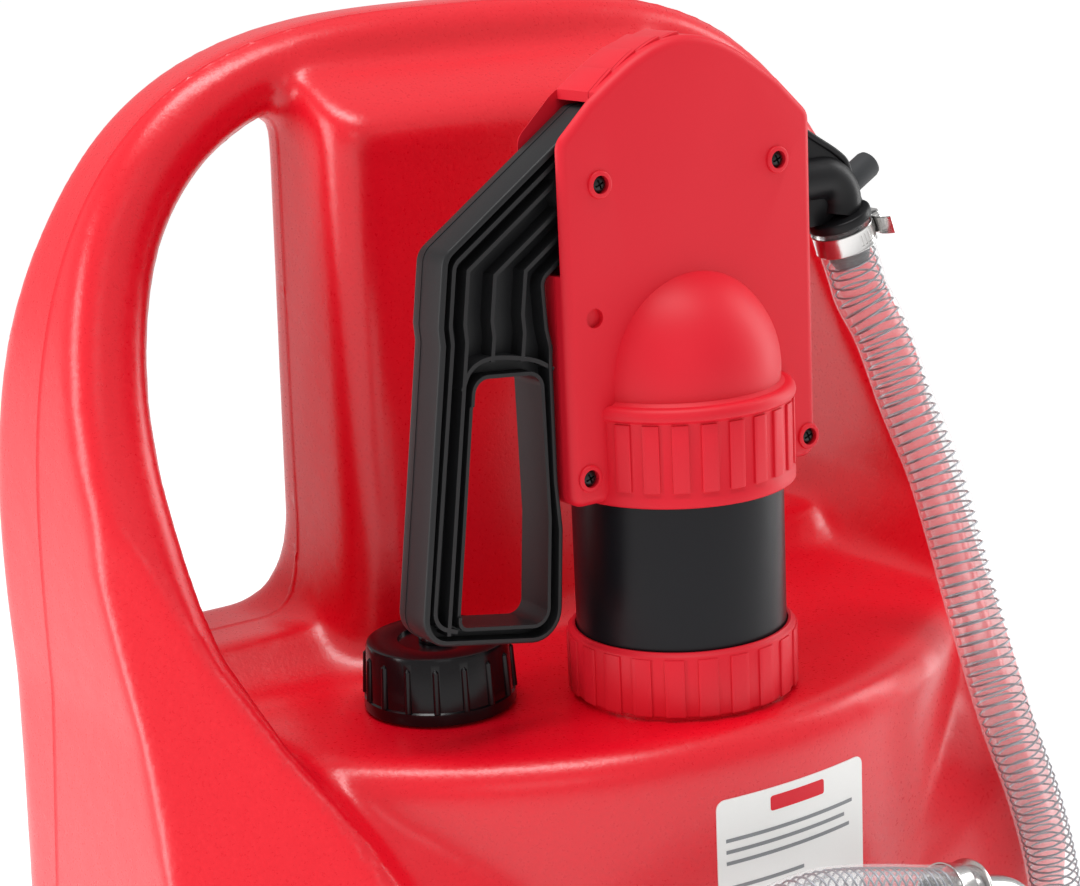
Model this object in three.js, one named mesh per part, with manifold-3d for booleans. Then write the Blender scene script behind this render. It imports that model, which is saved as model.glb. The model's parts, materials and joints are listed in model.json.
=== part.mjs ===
// A mobile fuel tank: a hollow red body with an arch handle, two rear wheels, a screw cap,
// a hand lever piston pump and a clear wire hose that ends in a bent spout.
// Millimetres, +Z up, the front looks along -Y. Inside the source the height zero is the top
// of the pump's coupling ring, on the barrel's axis; the last lines stand the model on its base.

import * as THREE from "three";
import { mergeVertices } from "three/addons/utils/BufferGeometryUtils.js";
import Module from "manifold-3d";

const wasm = await Module();
wasm.setup();

// Fits
const seat = 0.3; // gap between pieces that rest on each other
const running = 0.5; // gap between pieces that slide or turn
const overrun = 5; // how far a cutting body passes the surface it cuts
const mergeStep = 0.0001; // points closer than this are one
const finest = 0.02; // shorter edges are collapsed

// Facets: the sides of a round above each radius, with the radii in facet units
const facetUnit = 1.5;
const facetShares = [[40, 24], [15, 20], [6, 14], [3, 10], [0, 8]];
const facets = (size) => facetShares.find(([above]) => size > above * facetUnit)[1];
// Radius of a faceted cutter whose flats clear a round of the given radius.
const around = (radius) => radius / Math.cos(Math.PI / facets(radius));
const pipeSides = 5;
const pipeSteps = 12;
const noseSteps = 14;
const archSteps = 20;
const cornerSteps = 3;
const domeSteps = 5;

// Tank body
const ringHeight = 630; // coupling ring's top above the floor
const shelfDepth = 29.5; // shelf below the ring's top
const archRise = 257; // arch's top above the ring's top
const wall = 4.5;
const bodyHalfWidth = 237;
const bodyFront = -52;
const bodyRear = 210;
const frontCorner = 95;
const rearCorner = 38;
const bottomRound = 16;
const rearRound = 14; // rounding of the body's upper rear edge
const archFront = 140;
const archRear = 186;
const archHalfWidth = 227;
const archSpring = 9.5; // where the arch's curve begins, above the shelf
const archPower = 3.1; // 2 is an ellipse, more is squarer
const armWidth = 37;
const archThickness = 30;
const armRound = 15;
const legDepth = 165; // how far the arms run down inside the body
const noseRadius = 226;
const noseAside = 3; // the nose's centre right of the pump
const noseBehind = 160; // and behind it
const noseHalfAngle = (54 * Math.PI) / 180;
const noseRim = 14; // rounding of the shelf's front edge
const columnHalfWidth = 97;
const columnFront = 99;
const columnRear = 168;
const columnRound = 16;
const ledgeDrop = 45; // the column's sloping shoulder starts this far below the arch's top
const ledgeRise = 28; // and meets the arch this much higher
const ledgeRound = 6;
const saddleRise = 20; // floor of the two grip openings above the shelf
const saddleFront = 125;
const saddleRun = 38; // length of the ramp up to it
const saddleRear = 192;

// Wheels and feet
const wheelRadius = 100;
const wheelWidth = 45;
const wheelPlace = 147; // axle behind the pump's axis
const tyreShoulder = 10;
const beadStep = 4;
const rimRadius = 62;
const rimDepth = 8;
const rimLip = 5;
const wellGap = 11;
const axleRadius = 8;
const hubBossRadius = 17;
const hubWeb = 12;
const hubHoleRadius = 9;
const hubHoles = 6;
const washerRadius = 15;
const washerThickness = 2;
const axleCapRadius = 14;
const axleCapHeight = 8;
const axleCapEdge = 4.2; // height of its straight side
const padWidth = 70; // moulded front feet
const padDepth = 34;
const padHeight = 12;

// Filler
const capAside = 93.3; // cap left of the pump's axis
const capBehind = 48.3; // and behind it
const capRadius = 32.5;
const capTopRadius = 30.3;
const capTop = 0.4;
const capWall = 3.4;
const capRibs = 20;
const capRibShare = 0.6; // share of the pitch that a rib takes
const capRecess = 17;
const capRecessDepth = 1.6;
const ventRadius = 8;
const ventHeight = 4;
const ventShares = [[1, 0], [1, 0.5], [0.7, 0.9]]; // profile in shares of its radius and height
const fillerNeckRadius = 27;
const fillerBore = 22;
const sealHeight = 2.4;

// Coupling and barrel
const barrelRadius = 45;
const barrelWall = 3.5;
const barrelTop = 98;
const barrelFloor = 4;
const flangeHeight = 3.6;
const lipHeight = 3.4;
const ringRadius = 49.5;
const ringDepth = 27.5;
const ringPads = 22;
const ringPadShare = 0.82; // share of the pitch that a pad takes
const grooveDepth = 1.2;
const gasketHeight = 2.5;
const neckRadius = 46.4;
const neckBore = 41.5;

// Housing
const plateFront = -16;
const plateWall = 3;
const shellWall = 2.5;
const housingParting = -9;
const housingHalfWidth = 64;
const housingBottom = 63;
const housingApex = 247.7;
const roofRise = 36.7; // apex above the shoulders
const housingFootRound = 6;
const shoulderRound = 8;
const roofShares = [[0.75, 0.408], [0.5625, 0.632], [0.375, 0.828], [0.1875, 0.954], [0, 1]];
const roofInsetShare = 0.7; // how much of a wall the roof's slope takes sideways
const collarRadius = 50.2;
const collarBottom = 62;
const collarTop = 103;
const domeCentre = 110;
const domeRadius = 45;
const domeSink = 3; // how far the dome runs down into the collar
const edgeRound = 4;
const shingleStep = 1;
const shingleInset = 1; // steps end behind the rounded edge by this much
const bossRadius = 5.4;
const bossProud = 1;
const screwDrop = 18; // upper screws below the shoulders
const pivotInset = 18.7; // left one in from the wall: the lever turns on it
const upperInset = 19;
const lowerInset = 8.5;
const lowerRise = 12; // lower screw above the housing's bottom
const lugInset = 5; // lower right screw, on a lug beside the collar
const lugRise = 9.5;
const dimpleInset = 14;
const dimpleDrop = 71;
const screwRadius = 2;
const screwHeadRadius = 3.4;
const screwHeadHeight = 2.4;
const screwLength = 26;
const slotInset = 20; // the roof begins this far in, beside the lever's slot
const slotDrop = 53; // the slot's foot below the shoulders

// Lever and its linkage
const leverThickness = 24;
const hubRadius = 30.5;
const hubCore = 17; // solid middle of the hub
const bushWall = 2.6;
const armSlope = (35.5 * Math.PI) / 180;
const crankAngle = (25 * Math.PI) / 180; // above and below level at the ends of a stroke
const crankHalfWidth = 9;
const forkGap = 13;
const pinRadius = 4;
const leverWeb = 4;
const kneeReach = 74.7; // the arm's bend left of the pivot
const kneeDrop = 16;
const kneeRound = 8;
const heelReach = 100.7;
const heelRise = 34; // above the lever's foot
const heelRound = 10;
const toeIn = 5;
const toeRise = 12;
const leverClearance = 9.6; // the lever's foot above the filler cap
const barReach = 24.7; // the grip's right edge left of the pivot
const barTaper = 3;
const footRun = 18;
const armBreadth = 39;
const gripBreadth = 56;
const gripDrop = 69; // the finger opening's top below the pivot
const gripFoot = 19; // its lower edge above the lever's foot
const gripTopIn = 9; // from the grip's right edge
const gripFootIn = 11;
const gripTopWidth = 25;
const gripFootWidth = 35;
const gripSkew = 4; // its upper right corner is lower by this much
const gripRound = 6;
const gripWeb = 6; // thickness of the bridge over the opening
const ribWall = 2;
// Left side of each rib, in shares of the arm's and of the grip's breadth
const ribShares = [[0, 0], [0.156, 0.1], [0.346, 0.23], [0.587, 0.45], [0.823, 0.72], [0.95, 0.96]];
const longRibs = 2; // channels that run on beside the opening

// Rod, piston and valves
const rodRadius = 6;
const eyeWall = 6.5;
const eyeHalfHeight = 10;
const eyeFootRound = 4;
const eyeTopRound = 8;
const slotRoundShare = 0.98;
const pistonBottom = 55;
const pistonHeight = 12;
const pistonPorts = 6;
const sealWidth = 4;
const sealDepth = 2.9;
const nutRadius = 10;
const nutHeight = 5.2;
const nutSides = 6;
const valveTravel = 3;
const valveThickness = 1.5;
const portRadius = 3.5;
const portCircle = 22;
const collarHeight = 3;
const rodSealRadius = 10;
const rodSealHeight = 4;
const headSkirt = 12;
const headBossRadius = 14;
const headBossTop = 118;
const footValveRadius = 14;
const footHole = 10;
const cageWall = 2.5;
const tubeRadius = 11;
const tubeWall = 1.5;
const socketWall = 3;
const socketDepth = 24;
const strainerHeight = 40;
const strainerSlits = 3;

// Outlet
const riserPlace = 32;
const pipeRadius = 9;
const pipeBore = 6;
const outletInset = 33; // the elbow's level run below the shoulders
const elbowBend = 14;
const outletReach = 27.5; // flange's centre out from the housing's wall
const outletDrop = 16; // and below the level run
const outletTilt = (20 * Math.PI) / 180;
const outletFlangeRadius = 15.5;
const outletFlangeHeight = 3;
const gussetThickness = 5;
const gussetRise = 31; // gusset's top above the level run
// The gusset's curved back, in shares of its reach and of its height
const gussetShares = [[0, 1], [0.254, 0.936], [0.656, 0.723], [0.8, 0.489], [0.988, 0.064]];
const breakerRadius = 6.2;
const breakerLength = 20;
const breakerBore = 3.7;
const breakerBoreDepth = 4;
const breakerChamfer = 1;
const breakerOut = 2; // from the flange's centre
const breakerDrop = 6; // below the level run
const breakerTurn = 60;

// Hose and spout
const barbRadius = 9.2;
const barbStep = 1;
const barbLength = 20;
const barbShares = [0.7, 0.8]; // where the barb's ridge starts and ends, from its root
const hoseRadius = 12.5;
const hoseSides = 8;
const hoseBore = (barbRadius + seat) / Math.cos(Math.PI / hoseSides);
const hoseRibDepth = 0.6;
const hoseRibs = 58;
const boreSag = 0.7; // how far the bore's straight facets may leave its curve
const boreSamples = 400;
const clampWidth = 9;
const clampWall = 1.2;
const clampInset = 2; // from the hose's end
const wormRadius = 2.2;
const wormHeadRadius = 4;
const wormHeadLength = 3;
const wormHouseHalf = 6;
const wormHouseHeight = 7;
const spoutRadius = 9;
const spoutWall = 1.5;
const spoutSlope = (17 * Math.PI) / 180;
const spoutDrop = 120;
const spoutReach = 38;
const spoutBend = 26;
const spoutCollar = 14;
const spoutCollarHeight = 3;
const holderHeight = 16;
const holderDrop = 48; // its ring's top below the spout's knee
const holderWall = 4;
const holderHalfWidth = 20;
const holderMargin = 14; // its plate above and below the ring
const holderRound = 6;

// Colours and finish
const finishes = {
  red: { color: 0xd8121a, roughness: 0.42, metalness: 0 },
  pumpRed: { color: 0xcc1a1f, roughness: 0.5, metalness: 0 },
  black: { color: 0x141416, roughness: 0.45, metalness: 0 },
  grey: { color: 0x4a4d50, roughness: 0.6, metalness: 0 },
  rubber: { color: 0x1c1c1c, roughness: 0.85, metalness: 0 },
  steel: { color: 0xb9bcc0, roughness: 0.3, metalness: 1 },
  clear: { color: 0xdfe5e8, roughness: 0.12, metalness: 0 },
  white: { color: 0xe6e6e2, roughness: 0.5, metalness: 0 },
};

const model = new THREE.Group();
const rigidMeshes = [];

function place(name, solid, finish, isCord = false) {
  const mesh = new THREE.Mesh(toGeometry(solid), new THREE.MeshStandardMaterial(finishes[finish]));
  mesh.name = name;
  model.add(mesh);
  if (!isCord) rigidMeshes.push(mesh);
  return mesh;
}

// Solids and geometries

function toSolid(geometry) {
  const bare = geometry.clone();
  bare.deleteAttribute("normal");
  bare.deleteAttribute("uv");
  const merged = mergeVertices(bare, mergeStep);
  const triVerts = Uint32Array.from(merged.index.array);
  const make = () =>
    new wasm.Manifold(
      new wasm.Mesh({ numProp: 3, vertProperties: merged.attributes.position.array, triVerts }),
    );
  const solid = make();
  if (solid.volume() > 0) return solid;
  for (let i = 0; i < triVerts.length; i += 3) {
    [triVerts[i + 1], triVerts[i + 2]] = [triVerts[i + 2], triVerts[i + 1]];
  }
  return make();
}

function toGeometry(solid) {
  const mesh = solid.simplify(finest).getMesh();
  const geometry = new THREE.BufferGeometry();
  geometry.setAttribute("position", new THREE.BufferAttribute(mesh.vertProperties, 3));
  geometry.setIndex(new THREE.BufferAttribute(mesh.triVerts, 1));
  geometry.computeVertexNormals();
  return geometry;
}

const join = (...solids) => solids.reduce((sum, solid) => sum.add(solid));
const cut = (solid, ...tools) => tools.reduce((rest, tool) => rest.subtract(tool), solid);
const moved = (solid, x, y, z) => solid.translate([x, y, z]);

// A revolved solid about the Z axis from [radius, height] points; the profile starts and ends
// on the axis, or closes on itself.
function revolve(profile) {
  const steps = facets(Math.max(...profile.map(([radius]) => radius)));
  const points = profile.map(([radius, height]) => new THREE.Vector2(radius, height));
  if (profile[0][0] > 0) points.push(points[0].clone());
  return toSolid(new THREE.LatheGeometry(points, steps).rotateX(Math.PI / 2));
}

function tubeRing(outer, inner, low, high) {
  return revolve([[inner, low], [outer, low], [outer, high], [inner, high]]);
}

function cylinder(radius, low, high) {
  return revolve([[0, low], [radius, low], [radius, high], [0, high]]);
}

// A cylinder along Y, from one y to another, round the line through [x, z].
function crossPin(radius, from, to, [x, z]) {
  const geometry = new THREE.CylinderGeometry(radius, radius, to - from, facets(radius));
  return moved(toSolid(geometry), x, (from + to) / 2, z);
}

// A cylinder along X, round the line through [y, z].
function sidePin(radius, from, to, [y, z]) {
  const geometry = new THREE.CylinderGeometry(radius, radius, to - from, facets(radius)).rotateZ(Math.PI / 2);
  return moved(toSolid(geometry), (from + to) / 2, y, z);
}

function box(low, high) {
  const size = high.map((value, axis) => value - low[axis]);
  const geometry = new THREE.BoxGeometry(...size);
  return moved(toSolid(geometry), ...low.map((value, axis) => value + size[axis] / 2));
}

// A shape from [x, y, radius] corners, each rounded by its radius.
function roundedShape(corners, steps = 4) {
  const points = [];
  corners.forEach(([x, y, radius = 0], i) => {
    const corner = new THREE.Vector2(x, y);
    if (!radius) {
      points.push(corner);
      return;
    }
    const before = corners[(i + corners.length - 1) % corners.length];
    const after = corners[(i + 1) % corners.length];
    const back = new THREE.Vector2(before[0], before[1]).sub(corner).normalize();
    const ahead = new THREE.Vector2(after[0], after[1]).sub(corner).normalize();
    const half = Math.acos(THREE.MathUtils.clamp(back.dot(ahead), -1, 1)) / 2;
    const run = radius / Math.tan(half);
    const middle = back.clone().add(ahead).normalize().multiplyScalar(radius / Math.sin(half));
    const centre = corner.clone().add(middle);
    const start = corner.clone().add(back.multiplyScalar(run)).sub(centre);
    const end = corner.clone().add(ahead.multiplyScalar(run)).sub(centre);
    let turn = end.angle() - start.angle();
    if (turn > Math.PI) turn -= 2 * Math.PI;
    if (turn < -Math.PI) turn += 2 * Math.PI;
    for (let k = 0; k <= steps; k += 1) {
      points.push(start.clone().rotateAround(new THREE.Vector2(), (turn * k) / steps).add(centre));
    }
  });
  return new THREE.Shape(points);
}

// A plate whose outline lies in X and Z, between two y values, with rounded front edges on
// request.
function plate(shape, front, rear, round = 0) {
  const bevel = { bevelEnabled: round > 0, bevelThickness: round, bevelSize: round };
  const depth = rear - front - 2 * round;
  const geometry = new THREE.ExtrudeGeometry(shape, {
    depth,
    ...bevel,
    bevelOffset: -round,
    bevelSegments: 3,
    curveSegments: 8,
  });
  return moved(toSolid(geometry.rotateX(Math.PI / 2)), 0, rear - round, 0);
}

// A slab whose outline lies in X and Y, between two heights.
function slab(shape, low, high) {
  const geometry = new THREE.ExtrudeGeometry(shape, { depth: high - low, bevelEnabled: false });
  return moved(toSolid(geometry), 0, 0, low);
}

// A skin over rings of equally many points, closed at both ends.
function loft(rings) {
  const count = rings[0].length;
  const corners = rings.flat();
  const triangles = [];
  for (let ring = 0; ring < rings.length - 1; ring += 1) {
    for (let i = 0; i < count; i += 1) {
      const a = ring * count + i;
      const b = ring * count + ((i + 1) % count);
      triangles.push(a, b, b + count, a, b + count, a + count);
    }
  }
  const last = (rings.length - 1) * count;
  for (let i = 1; i < count - 1; i += 1) {
    triangles.push(0, i + 1, i, last, last + i, last + i + 1);
  }
  const geometry = new THREE.BufferGeometry().setFromPoints(corners);
  geometry.setIndex(triangles);
  return toSolid(geometry);
}

function pipe(curve, outer, inner, steps, sides = 16) {
  const section = new THREE.Shape().absarc(0, 0, outer, 0, 2 * Math.PI);
  if (inner > 0) section.holes.push(new THREE.Path().absarc(0, 0, inner, 0, 2 * Math.PI, true));
  const geometry = new THREE.ExtrudeGeometry(section, {
    steps,
    extrudePath: curve,
    bevelEnabled: false,
    curveSegments: sides,
  });
  return toSolid(geometry);
}

// A polyline of 3D points as a smooth path with rounded corners of one radius.
function bentPath(points, radius) {
  const path = new THREE.CurvePath();
  let start = points[0];
  for (let i = 1; i < points.length - 1; i += 1) {
    const back = points[i - 1].clone().sub(points[i]).normalize();
    const ahead = points[i + 1].clone().sub(points[i]).normalize();
    const run = radius / Math.tan(back.angleTo(ahead) / 2);
    const enter = points[i].clone().add(back.multiplyScalar(run));
    const leave = points[i].clone().add(ahead.multiplyScalar(run));
    path.add(new THREE.LineCurve3(start, enter));
    path.add(new THREE.QuadraticBezierCurve3(enter, points[i], leave));
    start = leave;
  }
  path.add(new THREE.LineCurve3(start, points[points.length - 1]));
  return path;
}

// Value at a place in a list of [place, value] shares.
function follow(shares, at) {
  const next = shares.findIndex(([place]) => place >= at);
  if (next === 0) return shares[0][1];
  if (next < 0) return shares[shares.length - 1][1];
  const [lowPlace, low] = shares[next - 1];
  const [highPlace, high] = shares[next];
  return low + ((high - low) * (at - lowPlace)) / (highPlace - lowPlace);
}

// Tank

const shelf = -shelfDepth;
const floor = -ringHeight;
const bodyFoot = floor + padHeight;
const armReach = archRise - shelf;
const archCentre = shelf + archSpring;

// Heights of the body's upper rings, in leg depths below the shelf.
const bodyShares = [1, 0.6, 0.35];
// How much further the body's front leans back than the arms do.
const leanShare = 1.6;

// How far the arms' front edge has swept back, against height over the shelf.
const sweepShares = [
  [-0.39, 0], [-0.28, 0.01], [-0.18, 0.05], [-0.07, 0.14], [0.03, 0.3], [0.1, 0.43], [0.21, 0.59],
  [0.31, 0.69], [0.42, 0.79], [0.52, 0.85], [0.63, 0.9], [0.75, 0.95], [1, 1],
];
// How far the arms' rear edge has moved in from the body's rear, against height.
const rearShares = [[0, 0.1], [0.35, 0.15], [0.55, 0.4], [0.75, 0.9], [1, 1]];
// How much the arms widen below the shelf, in arm widths.
const rootShares = [
  [-0.6, 5], [-0.39, 4.9], [-0.28, 3.5], [-0.18, 2.35], [-0.07, 1.8], [0.03, 1.25], [0.1, 1.03], [0.2, 1],
];
// How much rounder the arms' outer front, inner front and outer rear corners get toward the
// body, in arm corner radii.
const softShares = [[-0.6, 6.5], [-0.39, 6.4], [-0.28, 4], [-0.18, 2.4], [-0.07, 1.6], [0.1, 1.1], [0.3, 1]];
const creaseShares = [[-0.39, 1], [-0.28, 1.6], [-0.18, 2], [-0.07, 1.6], [0.1, 1.1], [0.3, 1]];
const rumpShares = [[-0.6, 2.7], [-0.39, 2.6], [-0.07, 1.8], [0.1, 1.2], [0.3, 1]];
const plainShares = [[0, 1], [1, 1]];
// Where the arms have their rings below the shelf.
const legShares = [-0.6, -0.39, -0.28, -0.18, -0.07];
// How far the arms have widened from the arch to the body.
const flareShares = [[-0.39, 1], [-0.28, 0.7], [0.03, 0]];

// The openings' floor: height, and how far its front and rear have run together.
const saddleShares = [[-4, 0, 0], [0.12, 0.4, 0], [0.5, 0.7, 0.2], [1, 1, 1]];

// A rectangle's outline as [x, y] points, with the radii of its corners: front left, front
// right, rear right and rear left.
function rectangle(left, right, front, rear, [frontLeft, frontRight, rearRight, rearLeft]) {
  const points = [];
  const corners = [
    [left, front, 1, 1, frontLeft, Math.PI],
    [right, front, -1, 1, frontRight, 1.5 * Math.PI],
    [right, rear, -1, -1, rearRight, 0],
    [left, rear, 1, -1, rearLeft, 0.5 * Math.PI],
  ];
  corners.forEach(([x, y, towardX, towardY, radius, from]) => {
    for (let k = 0; k <= cornerSteps; k += 1) {
      const angle = from + (k * Math.PI) / 2 / cornerSteps;
      points.push([
        x + towardX * radius + radius * Math.cos(angle),
        y + towardY * radius + radius * Math.sin(angle),
      ]);
    }
  });
  return points;
}

const level = (outline, z) => outline.map(([x, y]) => new THREE.Vector3(x, y, z));

// Heights and insets of a rounded edge: from the flat at `edge` over `radius` along `way`.
function rounding(edge, radius, way, steps = 2) {
  return Array.from({ length: steps + 1 }, (_, k) => {
    const angle = ((k / steps) * Math.PI) / 2;
    return [edge + way * radius * (1 - Math.cos(angle)), radius * (1 - Math.sin(angle))];
  });
}

// The body below the shelf; its upper front leans back behind the nose.
function bodyForm(skin) {
  const top = shelf - skin;
  const lean = (z) => follow(sweepShares, (z - shelf) / armReach) * (archFront - bodyFront);
  const heights = [
    ...rounding(bodyFoot + skin, bottomRound, 1),
    ...bodyShares.map((share) => [shelf - share * legDepth, 0]),
    [top - rearRound, 0],
    [top, 0],
  ];
  return loft(
    heights.map(([z, inset]) => {
      const hidden = z > shelf - legDepth ? armRound : 0;
      const half = bodyHalfWidth - skin - inset - hidden;
      const front = bodyFront + skin + inset + leanShare * lean(z);
      const rear = bodyRear - skin - (z === top ? rearRound : inset);
      const [near, far] = [frontCorner - skin, rearCorner - skin];
      return level(rectangle(-half, half, front, rear, [near, near, far, far]), z);
    }),
  );
}

// The rounded front of the body, an arc of a large circle in plan.
function noseForm(skin) {
  const rings = [
    ...rounding(bodyFoot + skin, bottomRound, 1),
    ...rounding(shelf - skin, noseRim, -1).reverse(),
  ];
  return loft(
    rings.map(([z, inset]) => {
      const radius = noseRadius - skin - inset;
      const outline = Array.from({ length: noseSteps + 1 }, (_, k) => {
        const angle = noseHalfAngle * ((2 * k) / noseSteps - 1);
        return [noseAside + radius * Math.sin(angle), noseBehind - radius * Math.cos(angle)];
      });
      const [right] = outline[outline.length - 1];
      const [left] = outline[0];
      outline.push([right, noseBehind], [left, noseBehind]);
      return level(outline, z);
    }),
  );
}

// The arch handle: a rounded section carried up one arm, over the top and down the other.
function archForm(skin) {
  const stations = [];
  const legHeights = legShares.map((share) => shelf + share * armReach);
  const legHalf = (z) => THREE.MathUtils.lerp(
    archHalfWidth, bodyHalfWidth, follow(flareShares, (z - shelf) / armReach));
  legHeights.forEach((z) => stations.push([legHalf(z), z, 1, 0]));
  for (let k = 0; k <= archSteps; k += 1) {
    const angle = (k / archSteps) * Math.PI;
    const power = 2 / archPower;
    const x = archHalfWidth * Math.sign(Math.cos(angle)) * Math.abs(Math.cos(angle)) ** power;
    const rise = archRise - archCentre;
    const z = archCentre + rise * Math.abs(Math.sin(angle)) ** power;
    const normal = new THREE.Vector2(
      (Math.sign(x) * Math.abs(x / archHalfWidth) ** (archPower - 1)) / archHalfWidth,
      ((z - archCentre) / rise) ** (archPower - 1) / rise,
    ).normalize();
    stations.push([x, z, normal.x, normal.y]);
  }
  legHeights.reverse().forEach((z) => stations.push([-legHalf(z), z, -1, 0]));
  return loft(
    stations.map(([x, z, outX, outZ]) => {
      const share = (z - shelf) / armReach;
      const front = bodyFront + follow(sweepShares, share) * (archFront - bodyFront);
      const rear = bodyRear + follow(rearShares, share) * (archRear - bodyRear);
      const width = THREE.MathUtils.lerp(archThickness, armWidth, Math.abs(outX));
      const depth = width * follow(rootShares, share);
      const radii = [softShares, creaseShares, plainShares, rumpShares].map(
        (shares) => armRound * follow(shares, share) - skin / 2);
      const outline = rectangle(skin, depth - skin, front + skin, rear - skin, radii);
      return outline.map(([inward, y]) => new THREE.Vector3(x - outX * inward, y, z - outZ * inward));
    }),
  );
}

// The column between the two openings; its front ends in a sloping shoulder under the arch.
function columnForm(skin) {
  const half = columnHalfWidth - skin;
  const radius = columnRound - skin / 2;
  const front = columnFront + skin;
  const ledge = archRise - ledgeDrop;
  const slope = (archFront + armRound - columnFront) / ledgeRise;
  const rings = [
    [shelf - legDepth / 2, front], [ledge - ledgeRound, front], [ledge, front + ledgeRound / 2],
    [ledge + ledgeRound, front + ledgeRound * slope], [ledge + ledgeRise - skin, archFront + armRound],
  ];
  return loft(
    rings.map(([z, y]) => {
      const corner = Math.min(radius, (columnRear - skin - y) / 3);
      return level(rectangle(-half, half, y, columnRear - skin, Array(4).fill(corner)), z);
    }),
  );
}

// The raised floor of the openings: a ramp in front, a round behind.
function saddleForm(skin) {
  const half = archHalfWidth - armWidth / 2;
  const corners = Array(4).fill(columnRound / 2);
  return loft(
    saddleShares.map(([up, forward, behind]) => {
      const front = saddleFront - (1 - forward) * saddleRun + skin;
      const rear = saddleRear - behind * rearRound - skin;
      return level(rectangle(-half, half, front, rear, corners), shelf + up * saddleRise - skin);
    }),
  );
}

function tankForm(skin) {
  return join(bodyForm(skin), noseForm(skin), archForm(skin), columnForm(skin), saddleForm(skin));
}

const axleHeight = floor + wheelRadius;
const wellInner = bodyHalfWidth - wheelWidth - wellGap;

function wheelSpaces(skin) {
  const well = (side) => {
    const from = side * (wellInner - skin);
    const to = side * (bodyHalfWidth + overrun + noseRim);
    const round = wheelRadius + wellGap + skin;
    const disc = sidePin(round, Math.min(from, to), Math.max(from, to), [wheelPlace, axleHeight]);
    const below = box(
      [Math.min(from, to), wheelPlace - round, floor - overrun],
      [Math.max(from, to), bodyRear + overrun, axleHeight],
    );
    return disc.add(below);
  };
  const tunnel = sidePin(axleRadius + running + skin, -bodyHalfWidth, bodyHalfWidth, [
    wheelPlace,
    axleHeight,
  ]);
  return join(well(1), well(-1), tunnel);
}

const capPlace = [-capAside, capBehind];
const flangeRadius = neckRadius + seat;
const ringBore = flangeRadius + seat;
const boreRadius = barrelRadius - barrelWall;
const pistonRadius = boreRadius - 2 * seat;
const gasketTop = -lipHeight - seat - flangeHeight - seat;
const neckTop = gasketTop - gasketHeight - seat;
const capCeiling = capTop - capWall;
const fillerNeckTop = capCeiling - 2 * seat - sealHeight;

function tankShell() {
  const hollow = cut(tankForm(wall), wheelSpaces(wall));
  const pads = [-1, 1].map((side) => {
    const x = side * (bodyHalfWidth - frontCorner);
    const y = bodyFront + frontCorner / 2;
    return box(
      [x - padWidth / 2, y - padDepth / 2, floor],
      [x + padWidth / 2, y + padDepth / 2, bodyFoot + wall / 2],
    );
  });
  const pumpNeck = cylinder(neckRadius, shelf - wall / 2, neckTop);
  const fillerNeck = moved(
    cylinder(fillerNeckRadius, shelf - wall / 2, fillerNeckTop), ...capPlace, 0);
  const pumpMouth = cylinder(neckBore, shelf - wall - overrun, neckTop + overrun);
  const fillerMouth = moved(
    cylinder(fillerBore, shelf - wall - overrun, fillerNeckTop + overrun), ...capPlace, 0);
  const skin = cut(tankForm(0), wheelSpaces(0), hollow);
  return cut(join(skin, ...pads, pumpNeck, fillerNeck), pumpMouth, fillerMouth);
}

// Filler cap

// A ring of pads with narrow grooves between them, as a plan shape.
function paddedShape(radius, groove, count, padShare) {
  const points = [];
  for (let i = 0; i < count; i += 1) {
    const start = (i / count) * 2 * Math.PI;
    const padTurn = (padShare * 2 * Math.PI) / count;
    points.push([radius, start], [radius, start + padTurn]);
    points.push([radius - groove, start + padTurn]);
    points.push([radius - groove, start + (2 * Math.PI) / count]);
  }
  return new THREE.Shape(
    points.map(([r, angle]) => new THREE.Vector2(r * Math.cos(angle), r * Math.sin(angle))),
  );
}

function fillerCap() {
  const skirtBottom = shelf + 4 * seat;
  const skirtTop = capTop - capWall / 2;
  const skirt = slab(paddedShape(capRadius, grooveDepth, capRibs, capRibShare), skirtBottom, skirtTop);
  const crown = revolve([
    [0, capTop - capWall], [capRadius - grooveDepth, capTop - capWall],
    [capTopRadius, capTop], [0, capTop],
  ]);
  const bore = cylinder(fillerNeckRadius + running, skirtBottom - overrun, capCeiling);
  const recess = cylinder(capRecess, capTop - capRecessDepth, capTop + overrun);
  return moved(cut(join(skirt, crown), bore, recess), ...capPlace, 0);
}

function ventValve() {
  const foot = capTop - capRecessDepth + seat;
  const side = ventShares.map(([across, up]) => [across * ventRadius, foot + up * ventHeight]);
  return moved(revolve([[0, foot], ...side, [0, foot + ventHeight]]), ...capPlace, 0);
}

function capSeal() {
  const high = capCeiling - seat;
  return moved(tubeRing(fillerNeckRadius, fillerBore, high - sealHeight, high), ...capPlace, 0);
}

// Coupling and barrel

function couplingRing() {
  const body = slab(paddedShape(ringRadius, grooveDepth, ringPads, ringPadShare), -ringDepth, 0);
  const lip = cylinder(barrelRadius + running, -ringDepth - overrun, overrun);
  const thread = cylinder(ringBore, -ringDepth - overrun, -lipHeight);
  return cut(body, lip, thread);
}

const flangeTop = -lipHeight - seat;
const flangeBottom = flangeTop - flangeHeight;
const chamberFloor = flangeBottom + barrelFloor;
const socketRadius = tubeRadius + running + socketWall;

function pumpCylinder() {
  const outside = revolve([
    [0, flangeBottom - socketDepth], [socketRadius, flangeBottom - socketDepth],
    [socketRadius, flangeBottom], [flangeRadius, flangeBottom], [flangeRadius, flangeTop],
    [barrelRadius, flangeTop], [barrelRadius, barrelTop], [0, barrelTop],
  ]);
  const chamber = cylinder(boreRadius, chamberFloor, barrelTop + overrun);
  const hole = cylinder(footHole, flangeBottom - overrun, chamberFloor + overrun);
  const socket = cylinder(tubeRadius + running, flangeBottom - socketDepth - overrun, flangeBottom - seat);
  return cut(outside, chamber, hole, socket);
}

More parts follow.
